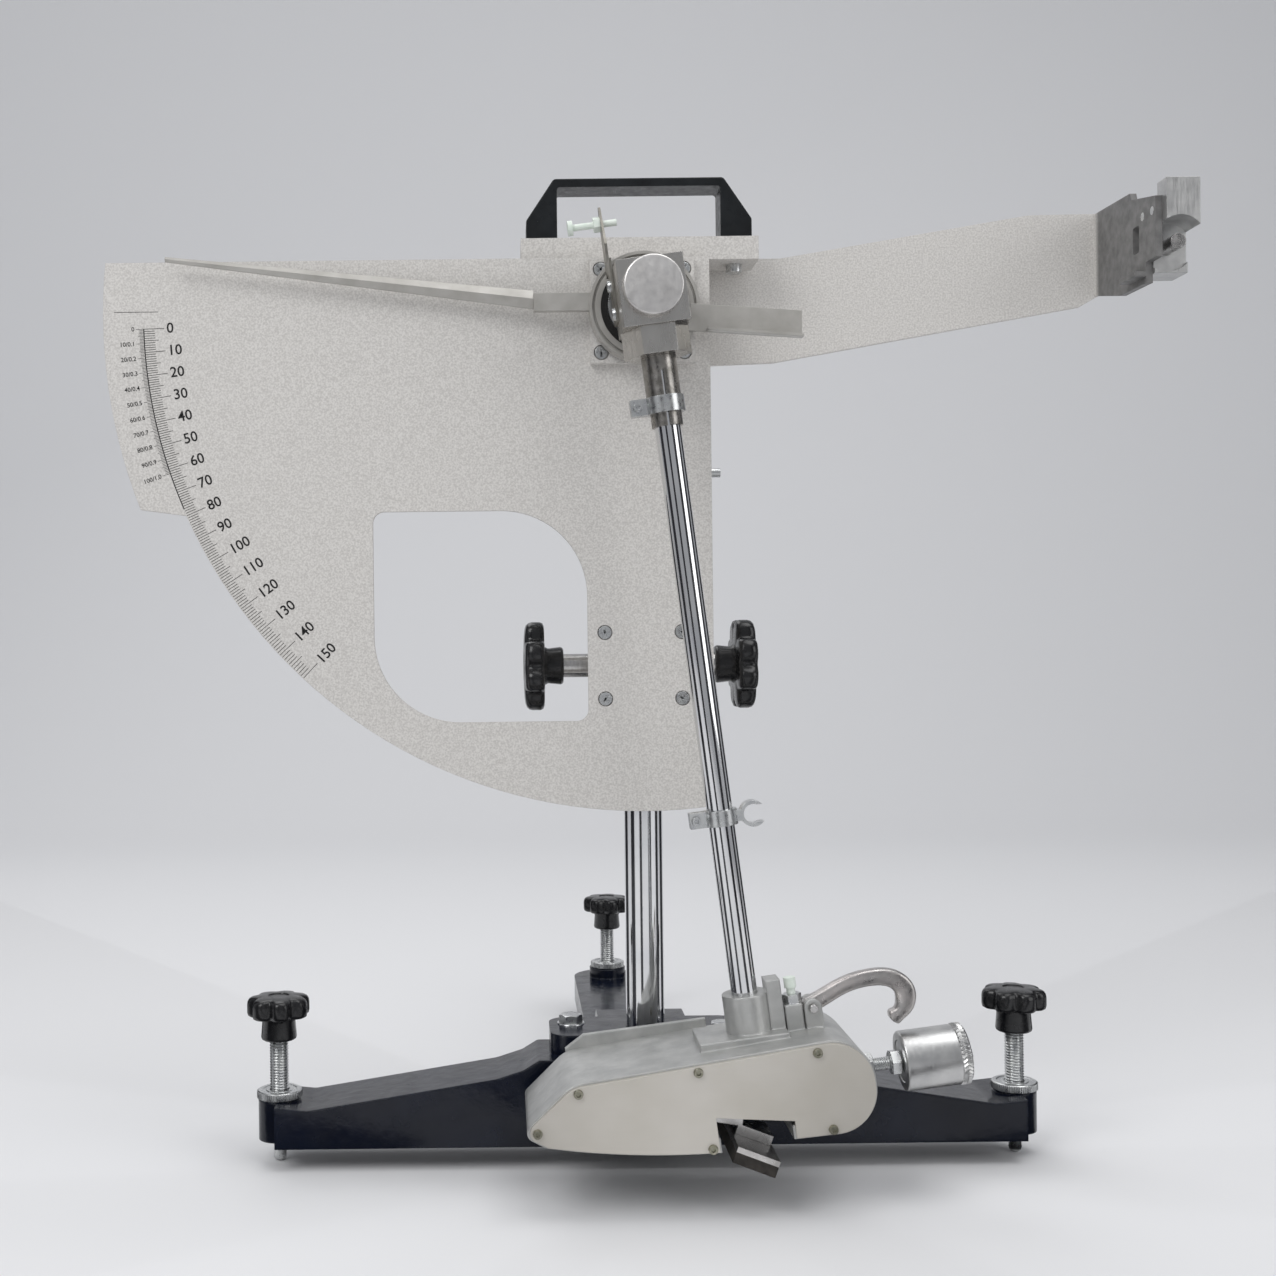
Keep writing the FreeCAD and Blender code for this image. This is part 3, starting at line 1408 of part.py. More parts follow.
def catch_clip():
    """Band on the tube with an open ring that hooks over the pin of the catch."""
    low = "-(%s) - band_height / 2" % CLIP_DROP
    middle = "-(%s)" % CLIP_DROP
    band = fuse(rod("band_radius", "band_height", (0, 0, low)),
                block(("-band_ear", "-clip_width / 2", low),
                      ("0", "clip_width / 2", low + " + band_height")),
                block(("tube_radius", "-clip_width / 2", middle + " - clip_neck / 2"),
                      ("clip_offset", "clip_width / 2", middle + " + clip_neck / 2")),
                rod("clip_outer", "clip_width", ("clip_offset", "-clip_width / 2", middle), "y"))
    clip = cut(band,
               rod("tube_radius + running_fit", "band_height", (0, 0, low)),
               block(("-band_ear", "-0.7", low), ("0", "0.7", low + " + band_height")),
               rod("1.5 + running_fit", "clip_width", ("-band_ear + 3.5", "-clip_width / 2", middle),
                   "y"),
               rod("clip_inner", "clip_width", ("clip_offset", "-clip_width / 2", middle), "y"),
               block(("clip_offset", "-clip_width / 2", middle + " - clip_gap / 2"),
                     ("clip_offset + clip_outer", "clip_width / 2", middle + " + clip_gap / 2")))
    on_pendulum(clip, "catch_clip")


def driver():
    """Spring strip on the left of the pendulum head, with the nylon screw that pushes the pointer."""
    left = "-head_half - driver_sheet"
    strap = new_body()
    side = sketch(strap, "YZ", left)
    outline(side, [("driver_aft", "driver_low"), ("driver_aft", "driver_shoulder"),
                   ("driver_screw_y + driver_tip", "driver_height - 8"),
                   ("driver_screw_y + 1", "driver_height"),
                   ("driver_screw_y - 1", "driver_height"),
                   ("driver_screw_y - driver_tip", "driver_height - 8"),
                   ("driver_fore + 12", "driver_shoulder - 8"), ("driver_fore + 12", "driver_low")])
    pad(strap, side, "driver_sheet")
    strip = fuse(block((left, "driver_fore", "-head_drop + 8"),
                       ("-head_half", "head_half - 1", "driver_low + 6")),
                 strap)
    tools = [rod("small_screw_radius - 0.5 + running_fit", "driver_sheet", (left, y, z), "x")
             for y, z in driver_bolt_spots()]
    tools.append(rod("nylon_radius + running_fit", "driver_sheet",
                     (left, "driver_screw_y", "driver_screw_z"), "x"))
    on_pendulum(cut(strip, *tools), "driver_arm")
    place = ("driver_screw_y", "driver_screw_z")
    nylon = fuse(rod("nylon_radius", "nylon_left - nylon_right", ("-nylon_left",) + place, "x"),
                 rod("nylon_head", "3", ("-nylon_left",) + place, "x"))
    nut_start = (left + " - nylon_nut - 0.05",) + place
    nut = cut(hexagon("nylon_head * 1.8", "nylon_nut", nut_start, "x"),
              rod("nylon_radius + running_fit", "nylon_nut", nut_start, "x"))
    stop = fuse(rod("stop_radius", "6", ("stop_x", 0, "-stop_top - 6")),
                rod("stop_stem", "post_top - stop_top + 6", ("stop_x", 0, "-post_top - 6")))
    on_pendulum(group(nylon, nut, stop), "adjusting_screws")


# Pendulum foot

def foot_outline(drawn, inset, bay=True):
    """Side view of the foot: its underside is an arc about the pivot, cut away at the slider."""
    reach = "foot_arc - (%s)" % inset
    left = "(foot_base_left - (%s) * 1.2)" % inset
    corners = [("heel_x - (%s)" % inset, "-heel_low + (%s)" % inset, "heel_round - (%s)" % inset),
               ("heel_x - (%s)" % inset, "-heel_top - (%s)" % inset, "heel_round - (%s)" % inset),
               ("-brow_x + (%s) * 0.4" % inset, "-brow_drop - (%s)" % inset, "brow_round"),
               ("-nose_x + (%s) * 1.4" % inset, "-nose_drop + (%s) * 0.2" % inset, "nose_round"),
               ("-" + left, "[-sqrt((%s)^2 - %s^2)]" % (reach, left))]
    end = "-bay_left - (%s)" % inset if bay else "-bay_left"
    corners.append((end, "[-sqrt((%s)^2 - (%s)^2)]" % (reach, end)))
    if bay:
        corners.append(("-bay_left - (%s)" % inset, "-bay_left_top"))
        corners.append(("bay_right + (%s)" % inset, "-bay_right_top"))
    corners.append(("bay_right + (%s)" % inset, "-bay_right_low + (%s)" % inset))
    outline(drawn, corners, {4: ("0", "0", 1)})
    size_arcs(drawn, (reach,))


def cover_screw_spots():
    return [("-brow_screw_x", "-brow_screw_drop"), ("-middle_screw_x", "-middle_screw_drop"),
            ("pad_screw_x", "-pad_screw_drop"), ("-nose_screw_x", "-nose_screw_drop"),
            ("-bay_screw_x", "-bay_screw_drop"), ("heel_screw_x", "-heel_screw_drop")]


def foot_casting():
    """Cast frame of the foot, open at both sides, with the socket for the tube on top."""
    shell = new_body()
    side = sketch(shell, "XZ")
    foot_outline(side, "0")
    pad(shell, side, "foot_half * 2", midplane=True)
    hollow = sketch(shell, "XZ")
    foot_outline(hollow, "foot_wall", bay=False)
    pocket(shell, hollow, "foot_half * 2 + 2", midplane=True)
    lever_low = "-heel_top - 6"
    solid = fuse(
        shell,
        rod("socket_radius", "socket_low - socket_top", (0, 0, "-socket_low")),
        block(("-pad_left", "-socket_radius - 5", "-socket_low + 4"),
              ("pad_right", "socket_radius + 5", "pad_rise - heel_top - 2")),
        block(("lug_left", "-lug_half", "-socket_low + 4"), ("lug_right", "lug_half", "-lug_top")),
        block(("post_left", "-post_half", lever_low), ("post_right", "post_half", "-post_top")),
        *[part for sign in ("-", "") for part in lever_cheek(sign, lever_low)])
    holes = [rod("tube_radius + running_fit", "tube_end - socket_top", (0, 0, "-tube_end")),
             rod("rod_radius + running_fit", "heel_x", ("heel_x - 12", 0, "-rod_drop"), "x"),
             rod("stop_stem + running_fit", "7", ("stop_x", 0, "-post_top - 7")),
             rod("lever_pin + running_fit", "lever_width + 4 * cheek",
                 ("lever_x", "-lever_width / 2 - 2 * cheek", "-lever_drop"), "y")]
    for x, z in cover_screw_spots():
        holes.append(rod("cover_screw + running_fit", "8", (x, "-foot_half", z), "y"))
        holes.append(rod("cover_screw + running_fit", "8", (x, "foot_half - 8", z), "y"))
    on_pendulum(cut(solid, *holes), "foot_casting")


def lever_cheek(sign, low):
    inner = sign + "(lever_width / 2 + running_fit)"
    outer = sign + "(lever_width / 2 + cheek)"
    ends = (outer, inner) if sign else (inner, outer)
    return [block(("lever_x - lever_eye", ends[0], low), ("lever_x + lever_eye", ends[1], "-lever_drop")),
            rod("lever_eye", "cheek - running_fit", ("lever_x", ends[0], "-lever_drop"), "y")]


def foot_covers():
    for label, offset in (("foot_front_cover", "foot_half"),
                          ("foot_rear_cover", "-foot_half - cover_sheet")):
        body = new_body()
        face = sketch(body, "XZ", offset)
        foot_outline(face, "cover_inset")
        pad(body, face, "cover_sheet")
        if label == "foot_rear_cover":
            crest = sketch(body, "XZ", offset)
            outline(crest, [("-crest_foot", "-brow_drop - brow_round / 4"),
                            ("-crest_right", "-brow_drop - brow_round / 4"),
                            ("-crest_right", "-crest_drop"), ("-crest_left", "-crest_drop"),
                            ("-crest_foot", "-brow_drop + 1")])
            pad(body, crest, "cover_sheet")
        for x, z in cover_screw_spots():
            hole = sketch(body, "XZ", offset)
            circle(hole, x, z, "cover_screw + running_fit")
            pocket(body, hole, "cover_sheet", backwards=True)
        pin = sketch(body, "XZ", "foot_half" if offset == "foot_half" else "-foot_half - cover_sheet / 2")
        circle(pin, "-hinge_x", "-hinge_drop", "pin_size + running_fit")
        pocket(body, pin, "cover_sheet / 2", backwards=True)
        on_pendulum(body, label)


def pendulum_screws():
    """Cover screws, driver screws and the two clamp screws."""
    face = "foot_half + cover_sheet"
    screws = []
    for x, z in cover_screw_spots():
        screws.append(fuse(rod("cover_screw", "cover_sheet + 6", (x, "-(%s)" % face, z), "y"),
                           rod("cover_head", "cover_head_height",
                               (x, "-(%s) - cover_head_height" % face, z), "y")))
        screws.append(fuse(rod("cover_screw", "cover_sheet + 6", (x, "foot_half - 6", z), "y"),
                           rod("cover_head", "cover_head_height", (x, face, z), "y")))
    left = "-head_half - driver_sheet"
    for y, z in driver_bolt_spots():
        screws.append(fuse(rod("small_screw_radius - 0.5", "8", (left, y, z), "x"),
                           rod("small_head_radius - 0.8", "1.8", (left + " - 1.8", y, z), "x")))
    for x, z, width in (("-ear_reach + 4", "-sleeve_end - clamp_height / 2", "ear_width"),
                        ("-band_ear + 3.5", "-(%s)" % CLIP_DROP, "clip_width")):
        screws.append(fuse(rod("1.5", "%s + 3" % width, (x, "-%s / 2" % width, z), "y"),
                           rod("2.8", "2.5", (x, "-%s / 2 - 2.5" % width, z), "y")))
    on_pendulum(group(*screws), "pendulum_screws")


def turned(solid, x, z, angle):
    """A solid drawn at the origin, then turned about Y and moved."""
    holder = group(solid)
    holder.Placement = Placement(Vector(), Rotation(Y_AXIS, 1))
    return bind(holder, Placement__Base__x=x, Placement__Base__z=z,
                Placement__Rotation__Angle="(%s) * 1 deg" % angle)


def on_slider(low, high):
    """A box in the slider's own frame, whose origin is the working edge of the rubber."""
    return turned(block(low, high), "-slider_edge", "-slider_reach", "slider_angle")


def slider():
    half = "slider_width / 2"
    rubber = on_slider(("-slider_length", "-" + half, "0"), ("0", half, "rubber_thickness"))
    on_pendulum(group(rubber), "slider_rubber")
    top = "rubber_thickness + backing_thickness"
    backing = on_slider(("-slider_length", "-" + half, "rubber_thickness"), ("0", half, top))
    on_pendulum(group(backing), "slider_backing_plate")
    holder = on_slider(("-slider_length + 2", "-carrier_width / 2", top),
                       ("-2", "carrier_width / 2", top + " + holder_height"))
    run = "(hinge_x - bar_end_x)"
    fall = "(bar_end_drop - hinge_drop)"
    bar = turned(block(("0", "-carrier_width / 2", "-carrier_height / 2"),
                       ("sqrt(%s^2 + %s^2)" % (run, fall), "carrier_width / 2", "carrier_height / 2")),
                 "-hinge_x", "-hinge_drop", "atan(%s / %s) / 1 deg" % (fall, run))
    eye = rod("eye_radius", "carrier_width", ("-hinge_x", "-carrier_width / 2", "-hinge_drop"), "y")
    arm = cut(fuse(holder, bar, eye),
              rod("pin_size + running_fit", "carrier_width",
                  ("-hinge_x", "-carrier_width / 2", "-hinge_drop"), "y"))
    on_pendulum(arm, "slider_arm")
    length = "foot_half * 2 + cover_sheet"
    pin = rod("pin_size", length, ("-hinge_x", "-(%s) / 2" % length, "-hinge_drop"), "y")
    on_pendulum(group(pin), "slider_pivot_pin")
    coil = cut(fuse(rod("coil_radius", "coil_end - coil_start",
                        ("-hinge_x", "coil_start", "-hinge_drop"), "y"),
                    rod("1", "16", ("1 - hinge_x - coil_radius", "coil_end - 2", "-hinge_drop"))),
               rod("pin_size + running_fit", "coil_end - coil_start",
                   ("-hinge_x", "coil_start", "-hinge_drop"), "y"))
    on_pendulum(coil, "slider_spring")


def lifting_lever():
    """Curved handle that lifts the slider off the floor."""
    body = new_body()
    side = sketch(body, "XZ")
    outline(side, [("lever_x", "-lever_drop + lever_eye"), ("lever_x", "-lever_drop - lever_eye + 1"),
                   ("lever_x + 26", "-lever_drop + 6", 14), ("lever_x + 45", "-lever_drop + 5", 7),
                   ("lever_x + 48", "-lever_drop - 8", 2), ("lever_x + 44", "-lever_drop - 11", 1),
                   ("lever_x + 53", "-lever_drop - 17", 2), ("lever_x + 61", "-lever_drop + 2", 12),
                   ("lever_x + 52", "-lever_drop + 14", 10), ("lever_x + 26", "-lever_drop + 15", 12)])
    pad(body, side, "lever_width", midplane=True)
    eye = rod("lever_eye", "lever_width", ("lever_x", "-lever_width / 2", "-lever_drop"), "y")
    pin = rod("lever_pin", "lever_width + 4 * cheek",
              ("lever_x", "-lever_width / 2 - 2 * cheek", "-lever_drop"), "y")
    on_pendulum(fuse(body, eye, pin), "lifting_lever")


def balance():
    """Threaded rod with two nuts, and the weight that is screwed along it."""
    bar = rod("rod_radius", "rod_end - rod_start", ("rod_start", 0, "-rod_drop"), "x")
    nuts = [hexagon("rod_nut", "rod_nut_width", (x, 0, "-rod_drop"), "x")
            for x in ("heel_x + 0.5", "weight_start - rod_nut_width - 0.5")]
    on_pendulum(fuse(bar, *nuts), "balance_rod")
    weight = fuse(rod("weight_radius", "weight_end - weight_start - knurl_width",
                      ("weight_start", 0, "-rod_drop"), "x"),
                  rod("weight_radius + knurl_rise", "knurl_width",
                      ("weight_end - knurl_width", 0, "-rod_drop"), "x"))
    bored = cut(weight, rod("rod_radius + running_fit", "weight_end - weight_start",
                            ("weight_start", 0, "-rod_drop"), "x"))
    on_pendulum(bored, "balance_weight")


# Pieces are made in the order in which the object is put together

base_beam()
rear_arm()
base_bolts()
column()
spirit_level()
levelling_screws()
head_casting()
head_top_bar()
carry_handle()
head_bolts()
scale_plate()
plate_screws()
bearing_flange()
spindle_bearings()
felt_washers()
friction_nut()
catch_arm()
catch_block()
release_plunger()
plunger_spring()
elevation_gear()
head_lock()
pointer()
pointer_tail()
spindle()
pendulum_head()
tube_and_fittings()
catch_clip()
driver()
foot_casting()
foot_covers()
pendulum_screws()
slider()
lifting_lever()
balance()

doc.recompute()
for obj in doc.Objects:
    if "Invalid" in obj.State or "Error" in obj.State:
        raise RuntimeError("%s (%s) did not compute: %s" % (obj.Name, obj.Label, obj.State))
for obj in nodes:
    if obj.Shape.isNull() or not obj.Shape.isValid():
        raise RuntimeError(obj.Label + " has no valid shape")
    print("%-26s solids %d volume %9.1f" % (obj.Label, len(obj.Shape.Solids), obj.Shape.Volume))

os.makedirs("parts", exist_ok=True)
for obj in nodes:
    obj.Shape.exportStep("parts/%s.step" % obj.Label)
print(len(nodes), "nodes")
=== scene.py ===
import math

import bmesh
import bpy
from mathutils import Matrix, Vector


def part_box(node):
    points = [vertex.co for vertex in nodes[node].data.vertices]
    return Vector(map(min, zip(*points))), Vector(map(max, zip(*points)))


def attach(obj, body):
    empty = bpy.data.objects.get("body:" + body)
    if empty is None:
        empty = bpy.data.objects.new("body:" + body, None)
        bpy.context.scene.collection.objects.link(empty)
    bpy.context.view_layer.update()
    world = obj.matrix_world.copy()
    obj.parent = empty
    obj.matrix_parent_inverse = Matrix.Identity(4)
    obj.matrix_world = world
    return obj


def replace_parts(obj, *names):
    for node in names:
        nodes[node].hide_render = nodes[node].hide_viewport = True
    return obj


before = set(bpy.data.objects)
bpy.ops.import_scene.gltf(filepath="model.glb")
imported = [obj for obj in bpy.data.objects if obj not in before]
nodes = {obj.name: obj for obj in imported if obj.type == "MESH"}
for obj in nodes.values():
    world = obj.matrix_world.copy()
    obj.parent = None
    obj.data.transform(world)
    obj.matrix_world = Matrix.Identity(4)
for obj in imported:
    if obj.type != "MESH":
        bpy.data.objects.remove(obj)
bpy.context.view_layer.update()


# The bench with the pale wall behind it, the soft lamps and the camera. The camera looks level along +Y
# from just left of the pendulum. Dark cards stand out of sight beside it, where only polished metal sees
# them, and give the bars their dark streaks.
scene = bpy.context.scene
scene.view_settings.view_transform = "Standard"


def shown(name, data):
    """Puts an object with this data in the scene."""
    made = bpy.data.objects.new(name, data)
    scene.collection.objects.link(made)
    return made


camera_data = bpy.data.cameras.new("camera")
camera = shown("camera", camera_data)
photo_side = 1276
focal_pixels = 1547
axis_pixel = (500, 639.6)
roll = math.radians(0.66)
stand = (-0.0898, -0.9853, 0.3274)
camera_data.sensor_width = 36
camera_data.lens = focal_pixels / photo_side * camera_data.sensor_width
camera_data.shift_x = (photo_side / 2 - axis_pixel[0]) / photo_side
camera_data.shift_y = (axis_pixel[1] - photo_side / 2) / photo_side
right = Vector((math.cos(roll), 0, -math.sin(roll)))
up = Vector((math.sin(roll), 0, math.cos(roll)))
back = Vector((0, -1, 0))
facing = Matrix((right, up, back)).transposed().to_4x4()
camera.matrix_world = Matrix.Translation(stand) @ facing
scene.camera = camera


def shader_of(name, colour, metallic, roughness, specular=0.5, coat=0.0):
    """A material whose fixed numbers stand on the shader itself."""
    made = bpy.data.materials.new(name)
    made.use_nodes = True
    shader = made.node_tree.nodes["Principled BSDF"]
    shader.inputs["Base Color"].default_value = (*colour, 1)
    shader.inputs["Metallic"].default_value = metallic
    shader.inputs["Roughness"].default_value = roughness
    shader.inputs["Specular IOR Level"].default_value = specular
    shader.inputs["Coat Weight"].default_value = coat
    return made, made.node_tree, shader


floor_mesh = bpy.data.meshes.new("floor")
bend_start, bend_radius, wall_top = 1.5, 0.9, 3.4
bend = [(bend_start + bend_radius * math.sin(a), bend_radius - bend_radius * math.cos(a))
        for a in [math.radians(7.5 * i) for i in range(13)]]
sweep = [(-3.0, 0.0)] + bend + [(bend_start + bend_radius, wall_top)]
floor_mesh.from_pydata([(x, y, z) for y, z in sweep for x in (-4, 4)], [],
                       [(2 * i, 2 * i + 1, 2 * i + 3, 2 * i + 2) for i in range(len(sweep) - 1)])
floor = shown("floor", floor_mesh)
floor_mesh.materials.append(shader_of("pale_bench", (0.80, 0.80, 0.81), 0.0, 0.7)[0])
for face in floor_mesh.polygons:
    face.use_smooth = True

card_finish = shader_of("dark_card", (0.02, 0.02, 0.025), 0.0, 0.9)[0]
near_share = 0.13
for turn, width in ((-72, 0.55), (-21, 0.30), (32, 0.42), (80, 0.42), (122, 0.7), (-128, 0.7)):
    turned = Matrix.Rotation(math.radians(turn), 3, "Z")
    outward, across = turned @ Vector((0, -1, 0)), turned @ Vector((width / 2, 0, 0))
    near, far, low, high = outward * 0.16, outward * 1.25, Vector((0, 0, 0.002)), Vector((0, 0, 1.5))
    narrow = across * near_share
    card_mesh = bpy.data.meshes.new("card")
    card_mesh.from_pydata([near - narrow + low, near + narrow + low, far + across + low, far - across + low,
                           far + across + high, far - across + high],
                          [], [(0, 1, 2, 3), (3, 2, 4, 5)])
    card_mesh.materials.append(card_finish)
    card = shown("card", card_mesh)
    card.visible_camera = card.visible_diffuse = card.visible_shadow = card.visible_transmission = False

lit_spot = Vector((0, 0, 0.25))
for name, place, size, power in (("window_lamp", (-1.3, -1.5, 1.9), 1.3, 23),
                                 ("ceiling_lamp", (0.5, -0.3, 2.3), 1.5, 17),
                                 ("fill_lamp", (1.8, -1.4, 1.0), 1.4, 10),
                                 ("rear_lamp", (-0.7, 1.1, 1.8), 1.2, 7)):
    lamp = bpy.data.lights.new(name, "AREA")
    lamp.shape = "SQUARE"
    lamp.size = size
    lamp.energy = power
    holder = shown(name, lamp)
    holder.location = place
    holder.rotation_euler = (lit_spot - holder.location).to_track_quat("-Z", "Y").to_euler()

world = bpy.data.worlds.new("room")
scene.world = world
world.use_nodes = True
sky = world.node_tree.nodes["Background"]
sky.inputs["Color"].default_value = (0.86, 0.88, 0.92, 1)
sky.inputs["Strength"].default_value = 0.42


# Base castings: a T of two grey-iron castings under thick blue-black enamel. The enamel is brushed over
# the sand-cast skin, so it is glossy but not flat, dulls where it pools and pales a little on the edges.
def put(tree, kind, feeds, **settings):
    """Adds a node with its settings, and feeds its sockets from other sockets or with plain values."""
    node = tree.nodes.new(kind)
    for setting, value in settings.items():
        setattr(node, setting, value)
    for socket, source in feeds.items():
        for each in source if isinstance(source, list) else [source]:
            if isinstance(each, bpy.types.NodeSocket):
                tree.links.new(each, node.inputs[socket])
            else:
                node.inputs[socket].default_value = each
    return node.outputs


def reckon(tree, operation, *terms):
    """One sum on numbers or sockets."""
    return put(tree, "ShaderNodeMath", dict(enumerate(terms)), operation=operation)["Value"]


def grain(tree, size, detail, stretch=(1, 1, 1)):
    """A noise on the object's own coordinates; size is the width of one grain in metres."""
    where = put(tree, "ShaderNodeTexCoord", {})["Object"]
    fit = put(tree, "ShaderNodeMapping", {"Vector": where, "Scale": stretch})["Vector"]
    return put(tree, "ShaderNodeTexNoise", {"Vector": fit, "Scale": 1 / size, "Detail": detail})["Fac"]


def spread(tree, pattern, low, high, start=0.3, end=0.7):
    """Turns a pattern into a number or a colour between two values."""
    if not isinstance(low, tuple):
        return put(tree, "ShaderNodeMapRange", {"Value": pattern, "From Min": start, "From Max": end,
                                                "To Min": low, "To Max": high})["Result"]
    ramp = tree.nodes.new("ShaderNodeValToRGB")
    for element, place, colour in zip(ramp.color_ramp.elements, (start, end), (low, high)):
        element.position = place
        element.color = (*colour, 1)
    tree.links.new(pattern, ramp.inputs["Fac"])
    return ramp.outputs["Color"]


def rounded(tree, radius):
    """The surface's direction as if its edges were broken by a small radius."""
    return put(tree, "ShaderNodeBevel", {"Radius": radius}, samples=4)["Normal"]


def relief(tree, shader, height, depth, strength, edge=0.0):
    """Bump of a given depth in metres, over edges that are rounded by a small radius."""
    feeds = {"Height": height, "Distance": depth, "Strength": strength}
    if edge:
        feeds["Normal"] = rounded(tree, edge)
    tree.links.new(put(tree, "ShaderNodeBump", feeds)["Normal"], shader.inputs["Normal"])


def lay_over(tree, shader, share, over):
    """Mixes another colour, plain or from a pattern, over the one that the shader has."""
    held = shader.inputs["Base Color"]
    feeds = {"Factor": share, 6: held.links[0].from_socket, 7: over}
    tree.links.new(put(tree, "ShaderNodeMix", feeds, data_type="RGBA")[2], held)


def edge_wear(tree, shader, colour, radius, amount):
    """Lets another colour show along the edges, broken up by a fine noise."""
    flat = put(tree, "ShaderNodeNewGeometry", {})["Normal"]
    likeness = put(tree, "ShaderNodeVectorMath", {0: rounded(tree, radius), 1: flat}, operation="DOT_PRODUCT")
    edge = spread(tree, likeness["Value"], amount, 0.0, 0.80, 0.985)
    breaks = spread(tree, grain(tree, 0.003, 4), 0.0, 1.0, 0.42, 0.62)
    lay_over(tree, shader, reckon(tree, "MULTIPLY", edge, breaks), (*colour, 1))


def finish_of(*fixed, mottle=(), sheen=(), worn=(), skin=()):
    """A material with fixed numbers as in shader_of, whose colour and roughness wander over the surface.

    Mottle, sheen and skin, which is its relief, start with their grain: width in metres, detail and how it
    is stretched. Worn is the colour of the bare edges, their width in metres and their share.
    """
    made, tree, shader = shader_of(*fixed)
    for socket, wander in (("Base Color", mottle), ("Roughness", sheen)):
        if wander:
            tree.links.new(spread(tree, grain(tree, *wander[0]), *wander[1:]), shader.inputs[socket])
    if worn:
        edge_wear(tree, shader, *worn)
    if skin:
        relief(tree, shader, grain(tree, *skin[0]), *skin[1:])
    return made


def dress(made, *names):
    """Gives the material slots of CAD nodes one material."""
    for name in names:
        for held in nodes[name].material_slots:
            held.material = made
        if not nodes[name].material_slots:
            nodes[name].data.materials.append(made)


enamel = finish_of("blue_black_enamel", (0.005, 0.007, 0.014), 0.0, 0.2, 0.32, 0.1,
                   mottle=((0.05, 4), (0.0025, 0.0035, 0.008), (0.006, 0.009, 0.020)),
                   sheen=((0.012, 4), 0.14, 0.28), worn=((0.05, 0.06, 0.085), 0.002, 0.4),
                   skin=((0.007, 4), 0.0005, 0.5, 0.0022))
dress(enamel, "base_beam", "rear_arm")


# Base bolts: two hexagon bolts on plain washers that clamp the rear casting on the front one. They are
# zinc plated, with the slightly mottled sheen of plating, and their heads are chamfered on top.
def sized_tree(name, *sizes):
    """A geometry tree with named inputs: the given sizes, a place, a turn and a finish."""
    tree = bpy.data.node_groups.new(name, "GeometryNodeTree")
    tree.interface.new_socket("Geometry", in_out="OUTPUT", socket_type="NodeSocketGeometry")
    kinds = [(label, "Int" if label in ("Count", "Around") else "Float") for label in sizes]
    ends = [("Place", "Vector"), ("Turn", "Vector"), ("Finish", "Material")]
    for label, kind in [("Geometry", "Geometry")] + kinds + ends:
        tree.interface.new_socket(label, in_out="INPUT", socket_type="NodeSocket" + kind)
    return tree, tree.nodes.new("NodeGroupInput").outputs


def vector(tree, x=0.0, y=0.0, z=0.0):
    """Three numbers or sockets as one place or turn."""
    return put(tree, "ShaderNodeCombineXYZ", {"X": x, "Y": y, "Z": z})["Vector"]


def shifted(tree, shape, x=0.0, y=0.0, z=0.0):
    """The shape, moved by numbers or sockets."""
    return put(tree, "GeometryNodeTransform", {"Geometry": shape, "Translation": vector(tree, x, y, z)})[0]


def close_tree(tree, given, made):
    """Turns and places what was made, makes it real and gives it its finish."""
    placed = put(tree, "GeometryNodeTransform",
                 {"Geometry": made, "Translation": given["Place"], "Rotation": given["Turn"]})
    real = put(tree, "GeometryNodeRealizeInstances", {"Geometry": placed[0]})
    dressed = put(tree, "GeometryNodeSetMaterial", {"Geometry": real[0], "Material": given["Finish"]})
    put(tree, "NodeGroupOutput", {"Geometry": dressed[0]})


def set_on_spots(tree, given, shape, step):
    """Sets the shape on the given spots, each turned a step further than the last, and closes the tree."""
    lie = reckon(tree, "MULTIPLY", put(tree, "GeometryNodeInputIndex", {})[0], step)
    feeds = {"Points": given["Geometry"], "Instance": shape, "Rotation": vector(tree, z=lie)}
    close_tree(tree, given, put(tree, "GeometryNodeInstanceOnPoints", feeds)[0])


def soften(mesh, angle):
    """Smooth shading, but for edges sharper than the angle."""
    for face in mesh.polygons:
        face.use_smooth = True
    mesh.set_sharp_from_angle(angle=math.radians(angle))


def face_out(mesh):
    """Turns every face of a closed mesh outwards."""
    solid = bmesh.new()
    solid.from_mesh(mesh)
    bmesh.ops.recalc_face_normals(solid, faces=solid.faces)
    solid.to_mesh(mesh)
    solid.free()


def grown(name, tree, body, finish, sizes, place=(0, 0, 0), turn=(0, 0, 0), spots=(), angle=35):
    """Runs a tree, over spots where it needs them, and keeps the outcome as a plain mesh on one body."""
    start = bpy.data.meshes.new(name)
    start.from_pydata([Vector(spot) for spot in spots], [], [])
    piece = shown(name, start)
    build = piece.modifiers.new("build", "NODES")
    build.node_group = tree
    wanted = dict(sizes, Place=place, Turn=turn, Finish=finish)
    for item in tree.interface.items_tree:
        if item.in_out == "INPUT" and item.name in wanted:
            build[item.identifier] = wanted[item.name]
    made = bpy.data.meshes.new_from_object(piece.evaluated_get(bpy.context.evaluated_depsgraph_get()))
    piece.modifiers.remove(build)
    face_out(made)
    soften(made, angle)
    made.name = name
    piece.data = made
    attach(piece, body)
    return piece


zinc = finish_of("zinc_plate", (0.62, 0.64, 0.66), 1.0, 0.3,
                 mottle=((0.006, 4), (0.55, 0.56, 0.57), (0.72, 0.73, 0.72)),
                 sheen=((0.003, 3), 0.24, 0.36), skin=((0.0015, 3), 0.00004, 0.5, 0.0004))

